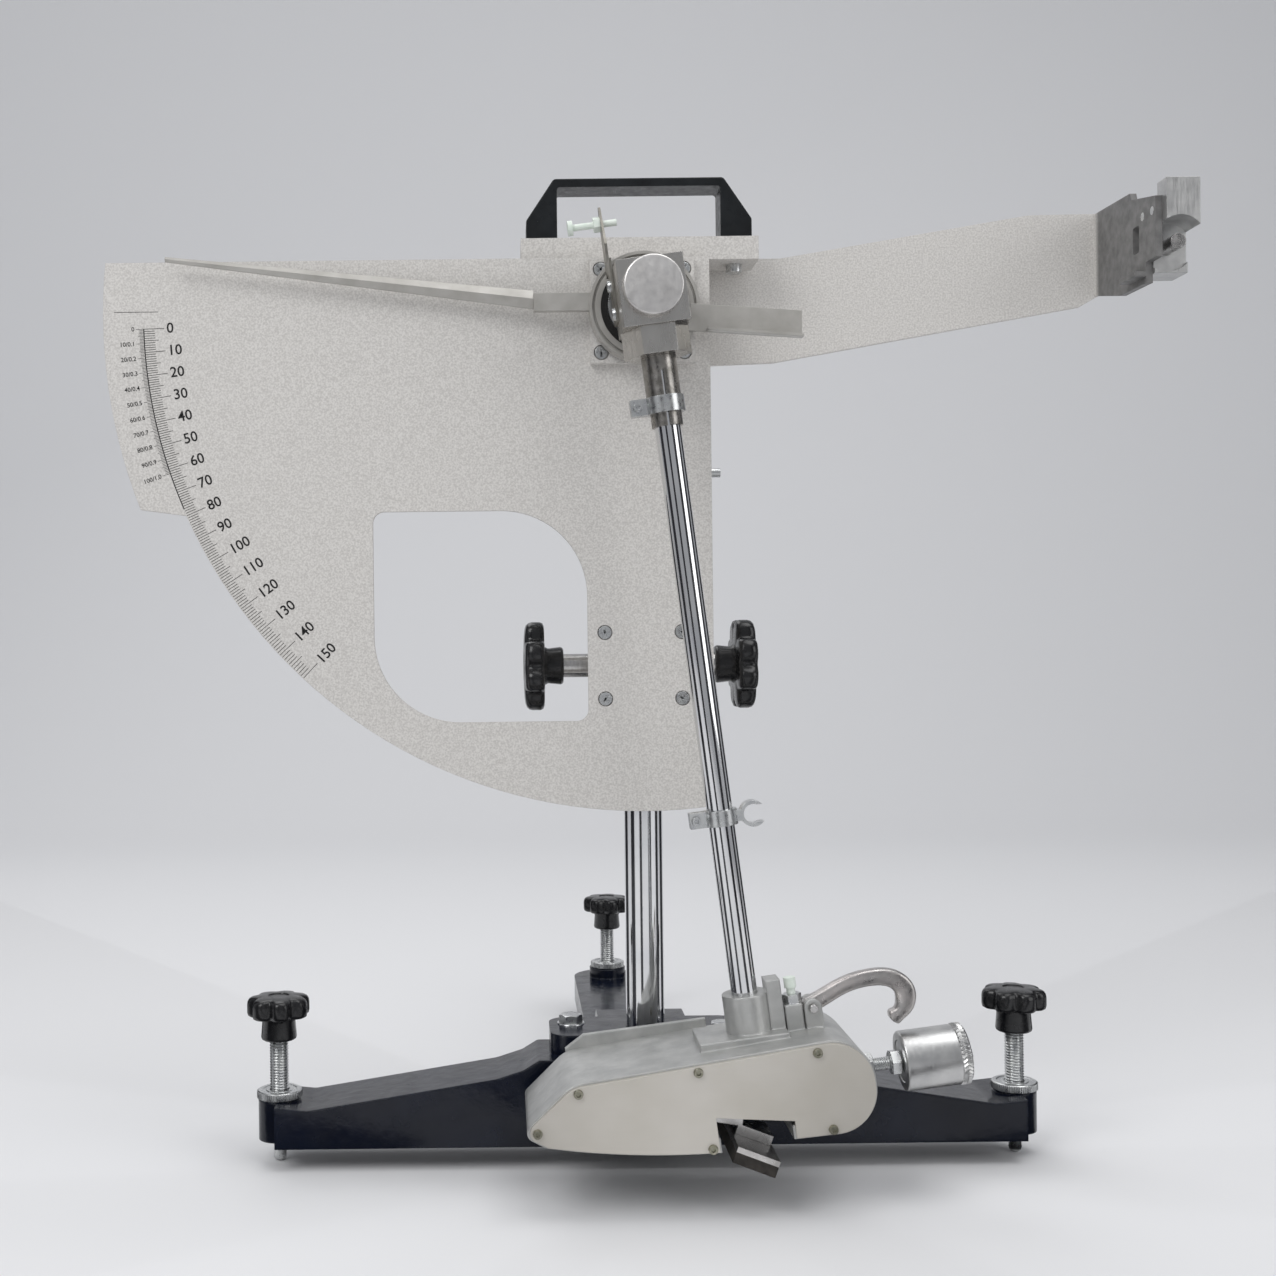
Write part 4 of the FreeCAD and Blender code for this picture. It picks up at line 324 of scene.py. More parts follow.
hexagons, given = sized_tree("hexagon_heads", "Width", "Height", "Washer", "Washer Height", "Shank", "Depth")
corner = reckon(hexagons, "DIVIDE", given["Width"], math.sqrt(3))
prism = put(hexagons, "GeometryNodeMeshCylinder", {"Vertices": 6, "Radius": corner, "Depth": given["Height"]})
raised = shifted(hexagons, prism["Mesh"], z=reckon(hexagons, "DIVIDE", given["Height"], 2))
slope, flat, above = 1.73, 0.475, 0.1
cone_foot = reckon(hexagons, "MULTIPLY_ADD", given["Height"], slope,
                   reckon(hexagons, "MULTIPLY", given["Width"], flat))
cone_top = reckon(hexagons, "MULTIPLY", given["Width"], flat - slope * above)
cone_height = reckon(hexagons, "MULTIPLY_ADD", given["Width"], above, given["Height"])
chamfer = put(hexagons, "GeometryNodeMeshCone", {"Vertices": 32, "Radius Bottom": cone_foot,
                                                 "Radius Top": cone_top, "Depth": cone_height})
head = put(hexagons, "GeometryNodeMeshBoolean", {1: [raised, chamfer["Mesh"]]}, operation="INTERSECT")
washer_top = reckon(hexagons, "MULTIPLY", given["Washer"], 0.96)
washer = put(hexagons, "GeometryNodeMeshCone", {"Vertices": 32, "Radius Bottom": given["Washer"],
                                                "Radius Top": washer_top, "Depth": given["Washer Height"]})
lifted = shifted(hexagons, head["Mesh"], z=given["Washer Height"])
shank = put(hexagons, "GeometryNodeMeshCone", {"Vertices": 20, "Radius Bottom": given["Shank"],
                                               "Radius Top": given["Shank"], "Depth": given["Depth"]})
sunk = shifted(hexagons, shank["Mesh"], z=reckon(hexagons, "MULTIPLY", given["Depth"], -1))
bolt = put(hexagons, "GeometryNodeJoinGeometry", {"Geometry": [lifted, washer["Mesh"], sunk]})
set_on_spots(hexagons, given, bolt[0], step=0.35)

base_bolts = grown("base_bolt_set", hexagons, "base", zinc,
                   {"Width": 0.013, "Height": 0.0052, "Washer": 0.0090, "Washer Height": 0.0008,
                    "Shank": 0.004, "Depth": 0.0304},
                   spots=[(-0.047, 0.012, 0.0797), (0.047, -0.012, 0.0797)])
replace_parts(base_bolts, "base_bolts")


# Column: ground steel bar, hard chromed and polished, with a rack cut in its back. It stands in the
# hub of the base. The chrome has faint lengthwise changes of sheen from the grinding.
chrome = finish_of("hard_chrome", (0.72, 0.73, 0.75), 1.0, 0.08,
                   mottle=((0.03, 2), (0.68, 0.69, 0.71), (0.80, 0.80, 0.80)),
                   sheen=((0.01, 3, (1, 1, 0.1)), 0.05, 0.12))
dress(chrome, "column", "pendulum_tube")


# Levelling screws, three alike: a steel stud with a turned-down foot and a rolled metric thread, zinc
# plated. The stud screws through the boss of the casting, and its knob is fast on the top.
def solid_of(name, body, finish, corners, sides, matrix, angle=35):
    """Makes a plain mesh from corners and faces, places it and lets it ride on one body."""
    mesh = bpy.data.meshes.new(name)
    mesh.from_pydata(corners, [], sides)
    face_out(mesh)
    mesh.transform(matrix)
    soften(mesh, angle)
    mesh.materials.append(finish)
    piece = shown(name, mesh)
    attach(piece, body)
    return piece


def turned_piece(name, body, finish, profile, matrix, steps, reach=None, angle=35):
    """A turned shape about Z. Its profile runs from the axis round to the axis, or round a bore and closes.

    reach gives, for each row of the profile and each angle, the share of the radius that is kept.
    """
    corners, rows = [], []
    for row, (radius, height) in enumerate(profile):
        count = steps if radius > 0 else 1
        rows.append([len(corners) + i for i in range(count)])
        for i in range(count):
            around = 2 * math.pi * i / steps
            far = radius * (reach(row, around) if reach else 1)
            corners.append((far * math.cos(around), far * math.sin(around), height))
    if profile[0][0] > 0:
        rows.append(rows[0])
    sides = []
    for low, high in zip(rows, rows[1:]):
        for i in range(steps):
            after = (i + 1) % steps
            loop = [low[i % len(low)], low[after % len(low)], high[after % len(high)], high[i % len(high)]]
            sides.append(tuple(dict.fromkeys(loop)))
    return solid_of(name, body, finish, corners, sides, matrix, angle)


threads, given = sized_tree("rolled_thread", "Radius", "Depth", "Pitch", "Length", "Around")
root = reckon(threads, "SUBTRACT", given["Radius"], given["Depth"])
turns = reckon(threads, "DIVIDE", given["Length"], given["Pitch"])
helix = put(threads, "GeometryNodeCurveSpiral",
            {"Resolution": given["Around"], "Rotations": turns, "Start Radius": root, "End Radius": root,
             "Height": given["Length"]})
level = put(threads, "GeometryNodeSetCurveNormal", {"Curve": helix[0]}, mode="Z_UP")
ridge = put(threads, "GeometryNodeCurvePrimitiveCircle", {"Resolution": 4, "Radius": given["Depth"]},
            mode="RADIUS")
wound = put(threads, "GeometryNodeCurveToMesh",
            {"Curve": level[0], "Profile Curve": ridge["Curve"], "Fill Caps": True})
core = put(threads, "GeometryNodeMeshCylinder", {"Vertices": 28, "Radius": root, "Depth": given["Length"]})
stood = shifted(threads, core["Mesh"], z=reckon(threads, "DIVIDE", given["Length"], 2))
rod = put(threads, "GeometryNodeJoinGeometry", {"Geometry": [wound[0], stood]})
close_tree(threads, given, rod[0])

levelling_spots = {"left": (-0.2325, -0.0061), "right": (0.2325, -0.0061), "rear": (0.0, 0.357)}
for side, (x, y) in levelling_spots.items():
    thread = grown(side + "_levelling_thread", threads, side + "_stud", zinc,
                   {"Radius": 0.006, "Depth": 0.00075, "Pitch": 0.00175, "Length": 0.0742, "Around": 20},
                   place=(x, y, 0.0123), angle=50)
    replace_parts(thread, side + "_levelling_screw")
    turned_piece(side + "_levelling_tip", side + "_stud", zinc,
                 [(0, 0), (0.0022, 0.0003), (0.0036, 0.0014), (0.004, 0.0030), (0.004, 0.0115),
                  (0.0052, 0.0123), (0.0052, 0.0130), (0, 0.0130)], Matrix.Translation((x, y, 0)), steps=32)


# Lock rings, one on each levelling screw: zinc plated steel rings with a straight knurl round the rim,
# which are screwed down on the boss by hand.
knurls, given = sized_tree("knurled_rim", "Radius", "Ridge", "Height", "Slant", "Count")
rim = put(knurls, "GeometryNodeMeshCircle", {"Vertices": given["Count"], "Radius": given["Radius"]})
ridge = put(knurls, "GeometryNodeMeshCylinder",
            {"Vertices": 4, "Radius": given["Ridge"], "Depth": given["Height"]})
step = reckon(knurls, "DIVIDE", 2 * math.pi, given["Count"])
spun = reckon(knurls, "MULTIPLY", put(knurls, "GeometryNodeInputIndex", {})[0], step)
lean = vector(knurls, x=given["Slant"], z=spun)
ridges = put(knurls, "GeometryNodeInstanceOnPoints",
             {"Points": rim["Mesh"], "Instance": ridge["Mesh"], "Rotation": lean})
close_tree(knurls, given, ridges[0])

for side, (x, y) in levelling_spots.items():
    foot = 0.0429 if side == "rear" else 0.0398
    at = Matrix.Translation((x, y, foot))
    ring = turned_piece(side + "_lock_ring_body", side + "_ring", zinc,
                        [(0.0063, 0), (0.0132, 0), (0.0138, 0.0005), (0.0138, 0.0046), (0.0132, 0.0051),
                         (0.0110, 0.0051), (0.0106, 0.0047), (0.0086, 0.0047), (0.0082, 0.0051),
                         (0.0063, 0.0051)], at, steps=64)
    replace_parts(ring, side + "_lock_ring")
    grown(side + "_lock_ring_knurl", knurls, side + "_ring", zinc,
          {"Radius": 0.01365, "Ridge": 0.00062, "Height": 0.0040, "Slant": 0.0, "Count": 64},
          place=(x, y, foot + 0.00255), angle=30)


# Star knobs: black phenolic mouldings with a tapered hub, pressed with seven lobes on the levelling
# screws and eight on the elevating gear. They are slightly domed and polished by the mould.
moulded = finish_of("moulded_black", (0.008, 0.008, 0.009), 0.0, 0.25, 0.5,
                    mottle=((0.02, 3), (0.006, 0.006, 0.007), (0.012, 0.012, 0.013)),
                    sheen=((0.004, 3), 0.18, 0.30), skin=((0.004, 3), 0.00006, 0.4, 0.0006))


def star_knob(name, body, replaced, lobes, hub, hub_height, radius, width, matrix):
    """A knob about Z whose rim is waved: the notches between the lobes fade out towards hub and middle.

    Each row has its radius, its height and the share of the notch that it shows.
    """
    top = hub_height + width
    rows = [(0, 0, 0), (hub * 0.88, 0, 0), (hub * 0.96, 0.0006, 0), (hub, 0.0018, 0),
            (hub * 0.93, hub_height * 0.8, 0), (hub * 1.06, hub_height, 0.25),
            (radius * 0.90, hub_height + 0.0003, 0.92), (radius * 0.975, hub_height + 0.0012, 1),
            (radius, hub_height + 0.0030, 1), (radius, top - 0.0052, 1), (radius * 0.982, top - 0.0032, 1),
            (radius * 0.935, top - 0.0017, 1), (radius * 0.86, top - 0.0009, 0.92),
            (radius * 0.72, top - 0.0004, 0.6), (radius * 0.50, top, 0.15), (radius * 0.34, top, 0),
            (radius * 0.32, top - 0.0006, 0), (0, top - 0.0006, 0)]
    notch_depth, notch_width = 0.19, 0.42 * math.pi / lobes

    def reach(row, around):
        apart = (around + math.pi / lobes) % (2 * math.pi / lobes) - math.pi / lobes
        return 1 - notch_depth * rows[row][2] * math.exp(-(apart / notch_width) ** 2)

    profile = [row[:2] for row in rows]
    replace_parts(turned_piece(name, body, moulded, profile, matrix, lobes * 18, reach, angle=50),
                replaced)


for side, (x, y) in levelling_spots.items():
    star_knob(side + "_levelling_star", side + "_knob", side + "_levelling_knob", lobes=7, hub=0.0112,
              hub_height=0.0143, radius=0.0199, width=0.0133, matrix=Matrix.Translation((x, y, 0.0764)))


# Round bubble level on the rear arm, between column and rear foot: a brass-coloured aluminium case with
# a domed glass over pale green spirit, and one ring printed round the bubble.
case_metal = finish_of("case_metal", (0.70, 0.69, 0.66), 1.0, 0.3,
                       sheen=((0.002, 3, (1, 1, 6)), 0.24, 0.36), skin=((0.001, 3), 0.00003, 0.4, 0.0005))
dress(case_metal, "spirit_level")

spirit = finish_of("green_spirit", (0.45, 0.66, 0.10), 0.0, 0.06, 0.6, 0.6,
                   mottle=((0.006, 2), (0.40, 0.62, 0.08), (0.52, 0.72, 0.14)))
bubble_air = finish_of("bubble_air", (0.80, 0.88, 0.62), 0.0, 0.05, 0.6, 0.6,
                       mottle=((0.002, 2), (0.74, 0.84, 0.52), (0.86, 0.92, 0.74)))
printed = finish_of("printed_black", (0.012, 0.012, 0.012), 0.0, 0.5, 0.3,
                    mottle=((0.0008, 2), (0.008, 0.008, 0.008), (0.022, 0.022, 0.022)))

level_at = Matrix.Translation((0, 0.1735, 0))
turned_piece("level_glass", "base", spirit,
             [(0, 0.0428), (0.0108, 0.0428), (0.0108, 0.0440), (0.0085, 0.0445), (0.0045, 0.0448),
              (0, 0.0449)], level_at, steps=48)
turned_piece("level_bubble", "base", bubble_air,
             [(0, 0.0446), (0.0024, 0.0446), (0.0028, 0.0448), (0.0022, 0.04515), (0, 0.0453)],
             Matrix.Translation((0.0006, 0.1731, 0)), steps=32)
turned_piece("level_mark", "base", printed,
             [(0.0042, 0.0446), (0.0046, 0.0446), (0.0046, 0.0450), (0.0042, 0.0450)], level_at,
             steps=48)


# Head casting, top bar, bearing flange, scale plate and the bent sheet arm of the catch: steel and iron
# under one warm pale grey paint, sprayed over a fine sandy undercoat. The fold in which the arm comes
# forward to the catch block is coloured a dark mottled grey as painted shade, for the shade on its face.
paint = ((0.0011, 2), (0.530, 0.510, 0.485), (0.690, 0.670, 0.640), 0.35, 0.65)
sandy_skin = ((0.0009, 2), 0.00006, 0.5, 0.0006)
sand = finish_of("sand_paint", (0.60, 0.59, 0.55), 0.0, 0.5, 0.4, mottle=paint,
                 sheen=((0.004, 2), 0.42, 0.56), worn=((0.36, 0.35, 0.33), 0.0006, 0.35), skin=sandy_skin)
dress(sand, "scale_plate", "bearing_flange", "head_casting", "head_top_bar")

arm_paint_and_shade = finish_of("arm_paint_with_painted_shade", (0.60, 0.58, 0.55), 0.0, 0.5, 0.4, mottle=paint,
                     sheen=((0.004, 2), 0.40, 0.56), skin=sandy_skin)
tree = arm_paint_and_shade.node_tree
# Painted shade: the fold is coloured dark grey for the shade on its face, and the sand paint starts behind
# it.
painted_shade_grey = spread(tree, grain(tree, 0.006, 4), (0.12, 0.118, 0.116), (0.20, 0.196, 0.192))
where = put(tree, "ShaderNodeTexCoord", {})["Object"]
depth = put(tree, "ShaderNodeSeparateXYZ", {"Vector": where})["Y"]
arm_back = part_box("catch_arm")[1][1]
shade_from, sand_paint_from = arm_back - 0.012, arm_back - 0.006
shaded_fold_share = spread(tree, depth, 1.0, 0.0, shade_from, sand_paint_from)
lay_over(tree, tree.nodes["Principled BSDF"], shaded_fold_share, painted_shade_grey)
dress(arm_paint_and_shade, "catch_arm")


# Bolts of the head: hexagon and cylinder heads of zinc plated steel that hold the handle, the top bar,
# the sheet arm and the catch block. Most sit behind the plate.
dress(zinc, "head_bolts", "elevation_shaft", "friction_nut")


# Carrying handle: one bent piece of steel bar with cut corners under smooth black lacquer. Both its feet
# are bolted to the top bar.
lacquer = finish_of("black_lacquer", (0.005, 0.006, 0.007), 0.0, 0.3, 0.32, 0.1,
                    mottle=((0.012, 3), (0.004, 0.005, 0.006), (0.009, 0.011, 0.013)),
                    sheen=((0.004, 3), 0.26, 0.42), worn=((0.05, 0.06, 0.06), 0.0012, 0.4),
                    skin=((0.002, 3), 0.00008, 0.4, 0.0014))
dress(lacquer, "carry_handle")


# Printed scale on the plate: ticks to 150 inward of an arc round the pivot, with numerals that point to
# the pivot, and a small scale to 100 outward of it on the tab, with its share of one beside each number.
pivot_height = 0.5285
print_face = -0.0305
arc_radius = 0.3075

ticks, given = sized_tree("scale_ticks", "Count", "First", "Step", "Radius", "Short", "Middle", "Long",
                          "Thickness", "Inward", "Proud")
index = put(ticks, "GeometryNodeInputIndex", {})[0]
drop = reckon(ticks, "ADD", given["First"], reckon(ticks, "MULTIPLY", index, given["Step"]))
radius_squared = reckon(ticks, "POWER", given["Radius"], 2.0)
out = reckon(ticks, "SQRT", reckon(ticks, "SUBTRACT", radius_squared, reckon(ticks, "POWER", drop, 2.0)))
line = put(ticks, "GeometryNodeMeshLine", {"Count": given["Count"]}, mode="OFFSET")
tick_spot = vector(ticks, reckon(ticks, "MULTIPLY", out, -1), 0.0, reckon(ticks, "MULTIPLY", drop, -1))
row = put(ticks, "GeometryNodeSetPosition", {"Geometry": line[0], "Position": tick_spot})
fifth = reckon(ticks, "COMPARE", reckon(ticks, "MODULO", index, 5.0), 0.0, 0.01)
tenth = reckon(ticks, "COMPARE", reckon(ticks, "MODULO", index, 10.0), 0.0, 0.01)
longer = reckon(ticks, "MULTIPLY", fifth, reckon(ticks, "SUBTRACT", given["Middle"], given["Short"]))
longest = reckon(ticks, "MULTIPLY", tenth, reckon(ticks, "SUBTRACT", given["Long"], given["Middle"]))
length = reckon(ticks, "ADD", given["Short"], reckon(ticks, "ADD", longer, longest))
slope = reckon(ticks, "ARCTAN2", reckon(ticks, "MULTIPLY", drop, -1), out)
bar = put(ticks, "GeometryNodeMeshCube", {"Size": (1.0, 1.0, 1.0)})
from_end = shifted(ticks, bar["Mesh"], x=0.5)
reach_in = reckon(ticks, "MULTIPLY", length, given["Inward"])
marks = put(ticks, "GeometryNodeInstanceOnPoints",
            {"Points": row[0], "Instance": from_end, "Rotation": vector(ticks, y=slope),
             "Scale": vector(ticks, reach_in, given["Proud"], given["Thickness"])})
close_tree(ticks, given, marks[0])

scale_at = (0, print_face - 0.00002, pivot_height)
first_drop, main_step, small_step = 0.0070, 0.001443, 0.000892
grown("main_ticks", ticks, "head", printed,
      {"Count": 151, "First": first_drop, "Step": main_step, "Radius": arc_radius, "Short": 0.0067,
       "Middle": 0.0090, "Long": 0.0125, "Thickness": 0.00034, "Inward": 1.0, "Proud": 0.00006}, scale_at)
grown("small_ticks", ticks, "head", printed,
      {"Count": 101, "First": first_drop, "Step": small_step, "Radius": arc_radius, "Short": 0.0028,
       "Middle": 0.0036, "Long": 0.0048, "Thickness": 0.00026, "Inward": -1.0, "Proud": 0.00006}, scale_at)


def printed_strip(name, path, width):
    """A thin printed line along a path of (x, height) points from the pivot."""
    corners, sides = [], []
    for i, (x, z) in enumerate(path):
        before = Vector(path[max(i - 1, 0)])
        after = Vector(path[min(i + 1, len(path) - 1)])
        along = (after - before).normalized()
        across = Vector((-along.y, along.x)) * width / 2
        for y in (0.00001, -0.00005):
            corners.append((x - across.x, y, z - across.y))
            corners.append((x + across.x, y, z + across.y))
    for i in range(len(path) - 1):
        low, high = 4 * i, 4 * i + 4
        sides += [(low, low + 1, high + 1, high), (low + 2, high + 2, high + 3, low + 3),
                  (low, high, high + 2, low + 2), (low + 1, low + 3, high + 3, high + 1)]
    end = 4 * len(path) - 4
    sides += [(0, 2, 3, 1), (end, end + 1, end + 3, end + 2)]
    solid_of(name, "head", printed, corners, sides, Matrix.Translation(scale_at))


last_drop = 0.1185
arc_start, arc_end = [math.asin(drop / arc_radius) for drop in (first_drop, last_drop)]
arc_path = [(-arc_radius * math.cos(a), -arc_radius * math.sin(a))
            for a in [arc_start + (arc_end - arc_start) * i / 40 for i in range(41)]]
printed_strip("scale_arc", arc_path, width=0.0006)
printed_strip("scale_top_line", [(-0.3255, 0.0035), (-0.2985, 0.0035)], width=0.0003)


def numerals(name, last, step, wording, height, align, inset):
    """Numbers in plain sans type beside every tenth tick, each reading towards the pivot."""
    joined = bmesh.new()
    type_share, bolder = 1.42, 0.018
    for value in range(0, last + 1, 10):
        type_data = bpy.data.curves.new("numeral", "FONT")
        type_data.body = wording(value)
        type_data.size = height * type_share
        type_data.align_x = align
        type_data.align_y = "CENTER"
        type_data.extrude = 0.00003
        type_data.offset = height * bolder
        type_data.resolution_u = 3
        drawn = bpy.data.objects.new("numeral", type_data)
        mesh = bpy.data.meshes.new_from_object(drawn)
        drop = first_drop + step * value
        tick = Vector((-math.sqrt(arc_radius ** 2 - drop ** 2), 0, -drop))
        reading, towards = -tick.normalized(), Vector((0, -1, 0))
        mesh.transform(Matrix((reading, towards.cross(reading), towards)).transposed().to_4x4())
        mesh.transform(Matrix.Translation(tick + reading * inset))
        joined.from_mesh(mesh)
        bpy.data.objects.remove(drawn)
    mesh = bpy.data.meshes.new(name)
    joined.to_mesh(mesh)
    joined.free()
    mesh.transform(Matrix.Translation(scale_at))
    mesh.materials.append(printed)
    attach(shown(name, mesh), "head")


numerals("main_numerals", last=150, step=main_step, wording=str, height=0.0063, align="LEFT", inset=0.0140)
numerals("small_numerals", last=100, step=small_step, height=0.0027, align="RIGHT", inset=-0.0058,
         wording=lambda value: "%d/%.1f" % (value, value / 100) if value else "0")


# Countersunk screws with a cross recess, four in the bearing flange and four in the plate, zinc plated
# steel. Each sits flush in its sunk hole and leaves a dark ring round the head.
recessed, given = sized_tree("recessed_screws", "Radius", "Foot", "Height", "Slot", "Slot Length", "Sunk")
head = put(recessed, "GeometryNodeMeshCone", {"Vertices": 28, "Radius Bottom": given["Foot"],
                                              "Radius Top": given["Radius"], "Depth": given["Height"]})
cutters = []
for one, other in (("Slot Length", "Slot"), ("Slot", "Slot Length")):
    size = vector(recessed, given[one], given[other], given["Sunk"])
    slot = put(recessed, "GeometryNodeMeshCube", {"Size": size})
    cutters.append(shifted(recessed, slot["Mesh"], z=given["Height"]))
cut_head = put(recessed, "GeometryNodeMeshBoolean", {0: head["Mesh"], 1: cutters}, operation="DIFFERENCE")
set_on_spots(recessed, given, cut_head["Mesh"], step=2.4)

facing_front = (math.radians(90), 0, 0)
cross_sizes = {"Radius": 0.0041, "Foot": 0.0021, "Height": 0.0025, "Slot": 0.0011, "Slot Length": 0.0054,
               "Sunk": 0.0024}
flange_spots = [(x, pivot_height + z, 0.0330) for x in (-0.0255, 0.0255) for z in (-0.0255, 0.0255)]
plate_spots = [(x - 0.0012, pivot_height - z, 0.0280) for x in (-0.0238, 0.0238) for z in (0.1975, 0.2385)]
screws = grown("countersunk_screws", recessed, "head", zinc, cross_sizes, turn=facing_front,
               spots=flange_spots + plate_spots)
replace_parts(screws, "plate_screws")


# Felt washers on each side of the pointer's ring, black and dense. The ring nut squeezes them on it, and
# that gives the pointer its friction.
felt = finish_of("black_felt", (0.02, 0.02, 0.02), 0.0, 0.95, 0.1,
                 mottle=((0.0006, 3), (0.012, 0.012, 0.012), (0.035, 0.034, 0.033)),
                 skin=((0.0006, 3), 0.0003, 1.0))
dress(felt, "felt_washers")


# Pointer: a turned aluminium ring, a folded sheet blade riveted in its root and a sheet tail that
# balances it. All of it is sprayed pale silver-grey, and the spray is thin on the folds.
spray = finish_of("pointer_spray", (0.58, 0.57, 0.54), 0.35, 0.4, 0.5,
                  mottle=((0.012, 4), (0.40, 0.385, 0.355), (0.50, 0.485, 0.455)),
                  sheen=((0.005, 3), 0.34, 0.46), worn=((0.28, 0.27, 0.26), 0.0006, 0.6),
                  skin=((0.002, 3), 0.00005, 0.4, 0.0005))
dress(spray, "pointer_ring", "pointer_blade", "pointer_tail")


# Catch block at the end of the arm: a milled aluminium block with a bored barrel, left bare, with the
# steel release plunger in it. Its spring is wound from round steel wire.
milled = finish_of("milled_aluminium", (0.62, 0.62, 0.62), 0.9, 0.34,
                   mottle=((0.008, 4), (0.50, 0.50, 0.50), (0.66, 0.66, 0.65)),
                   sheen=((0.0012, 2, (1, 1, 0.12)), 0.28, 0.42),
                   skin=((0.0010, 2, (1, 1, 0.1)), 0.00003, 0.6, 0.0006))
dress(milled, "catch_block")

steel = finish_of("turned_steel", (0.60, 0.59, 0.58), 1.0, 0.26,
                  mottle=((0.012, 3), (0.54, 0.53, 0.52), (0.64, 0.63, 0.62)),
                  sheen=((0.004, 3), 0.20, 0.30), skin=((0.0006, 2, (1, 1, 4)), 0.00002, 0.4, 0.0005))
dress(steel, "release_plunger", "pendulum_spindle", "slider_pivot_pin", "slider_spring", "slider_arm",
      "spindle_bearings", "elevation_pinion")

coils, given = sized_tree("wound_spring", "Radius", "Wire", "Pitch", "Length", "Around")
middle = reckon(coils, "SUBTRACT", given["Radius"], given["Wire"])
rise = reckon(coils, "SUBTRACT", given["Length"], reckon(coils, "MULTIPLY", given["Wire"], 2.0))
helix = put(coils, "GeometryNodeCurveSpiral",
            {"Resolution": given["Around"], "Rotations": reckon(coils, "DIVIDE", rise, given["Pitch"]),
             "Start Radius": middle, "End Radius": middle, "Height": rise})
wire = put(coils, "GeometryNodeCurvePrimitiveCircle", {"Resolution": 10, "Radius": given["Wire"]},
           mode="RADIUS")
wound = put(coils, "GeometryNodeCurveToMesh",
            {"Curve": helix[0], "Profile Curve": wire["Curve"], "Fill Caps": True})
close_tree(coils, given, shifted(coils, wound[0], z=given["Wire"]))

plunger_spring = grown("plunger_coil", coils, "plunger", steel,
                       {"Radius": 0.0056, "Wire": 0.0006, "Pitch": 0.0026, "Length": 0.0141, "Around": 28},
                       place=(0.308, -0.0418, 0.5551), turn=facing_front, angle=60)
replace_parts(plunger_spring, "plunger_spring")


# Elevating gear: a steel shaft with its pinion on the rack of the column, turned bushes in the gearbox
# and an eight-lobed knob on each end of the shaft.
bush_steel = finish_of("bush_steel", (0.50, 0.49, 0.48), 1.0, 0.22,
                       mottle=((0.004, 3, (4, 1, 1)), (0.44, 0.43, 0.42), (0.58, 0.57, 0.56)),
                       skin=((0.0008, 2, (6, 1, 1)), 0.00002, 0.4, 0.0004))
dress(bush_steel, "elevation_bushes")
for side, sign in (("left", -1), ("right", 1)):
    at = Matrix.Translation((sign * 0.04905, 0.0185, 0.310)) @ Matrix.Rotation(sign * math.pi / 2, 4, "Y")
    star_knob(side + "_elevation_star", "elevation_gear", side + "_elevation_knob", lobes=8, hub=0.0122,
              hub_height=0.0122, radius=0.0298, width=0.0133, matrix=at)


# Head lock: a plated screw that draws the slit ears of the casting together, with a small knurled knob
# on its left end, behind the plate.
dress(zinc, "head_lock_screw")
grown("lock_knob_knurl", knurls, "head_lock", zinc,
      {"Radius": 0.0117, "Ridge": 0.00062, "Height": 0.0100, "Slant": 0.0, "Count": 48},
      place=(-0.0571, 0.0245, 0.4345), turn=(0, math.radians(90), 0), angle=30)


# Head of the pendulum: a milled steel block on the spindle with a round cap on its face, and under it a
# six-sided union nut that grips the slit sleeve. Block and nut are ground, the sleeve is left darker.
tilt = math.radians(7.05)
swing_plane = -0.0815
pivot = (0, swing_plane, pivot_height)
pendulum = Matrix.Translation(pivot) @ Matrix.Rotation(-tilt, 4, "Y")
ground = finish_of("ground_steel", (0.56, 0.54, 0.51), 1.0, 0.28,
                   mottle=((0.009, 3, (1, 1, 0.35)), (0.49, 0.475, 0.45), (0.57, 0.555, 0.53)),
                   sheen=((0.003, 3, (1, 1, 0.2)), 0.24, 0.34),
                   skin=((0.0007, 2, (1, 1, 0.1)), 0.00001, 0.5, 0.0007))
dress(ground, "pendulum_head", "union_nut")
polished = finish_of("polished_cap", (0.80, 0.78, 0.76), 1.0, 0.36,
                     mottle=((0.007, 4, (1, 1, 0.5)), (0.70, 0.68, 0.66), (0.84, 0.82, 0.80)),
                     sheen=((0.003, 4), 0.34, 0.46), skin=((0.0012, 3), 0.00001, 0.5))
cap = turned_piece("round_cap", "pendulum", polished,
                   [(0, 0), (0.0166, 0), (0.0171, 0.0003), (0.0173, 0.0008), (0.0173, 0.0052),
                    (0.0171, 0.0057), (0.0167, 0.0060), (0.0161, 0.0061), (0, 0.0061)],
                   Matrix.Translation((0, -0.1009, pivot_height)) @ Matrix.Rotation(math.pi / 2, 4, "X"),
                   steps=96)
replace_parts(cap, "head_cap")
darker = finish_of("oiled_steel", (0.32, 0.31, 0.29), 1.0, 0.3,
                   mottle=((0.005, 4), (0.22, 0.21, 0.19), (0.40, 0.38, 0.36)),
                   sheen=((0.002, 3), 0.24, 0.40), skin=((0.0008, 2, (1, 1, 3)), 0.00003, 0.4, 0.0004))
dress(darker, "tube_sleeve")
dress(zinc, "sleeve_clamp", "catch_clip")


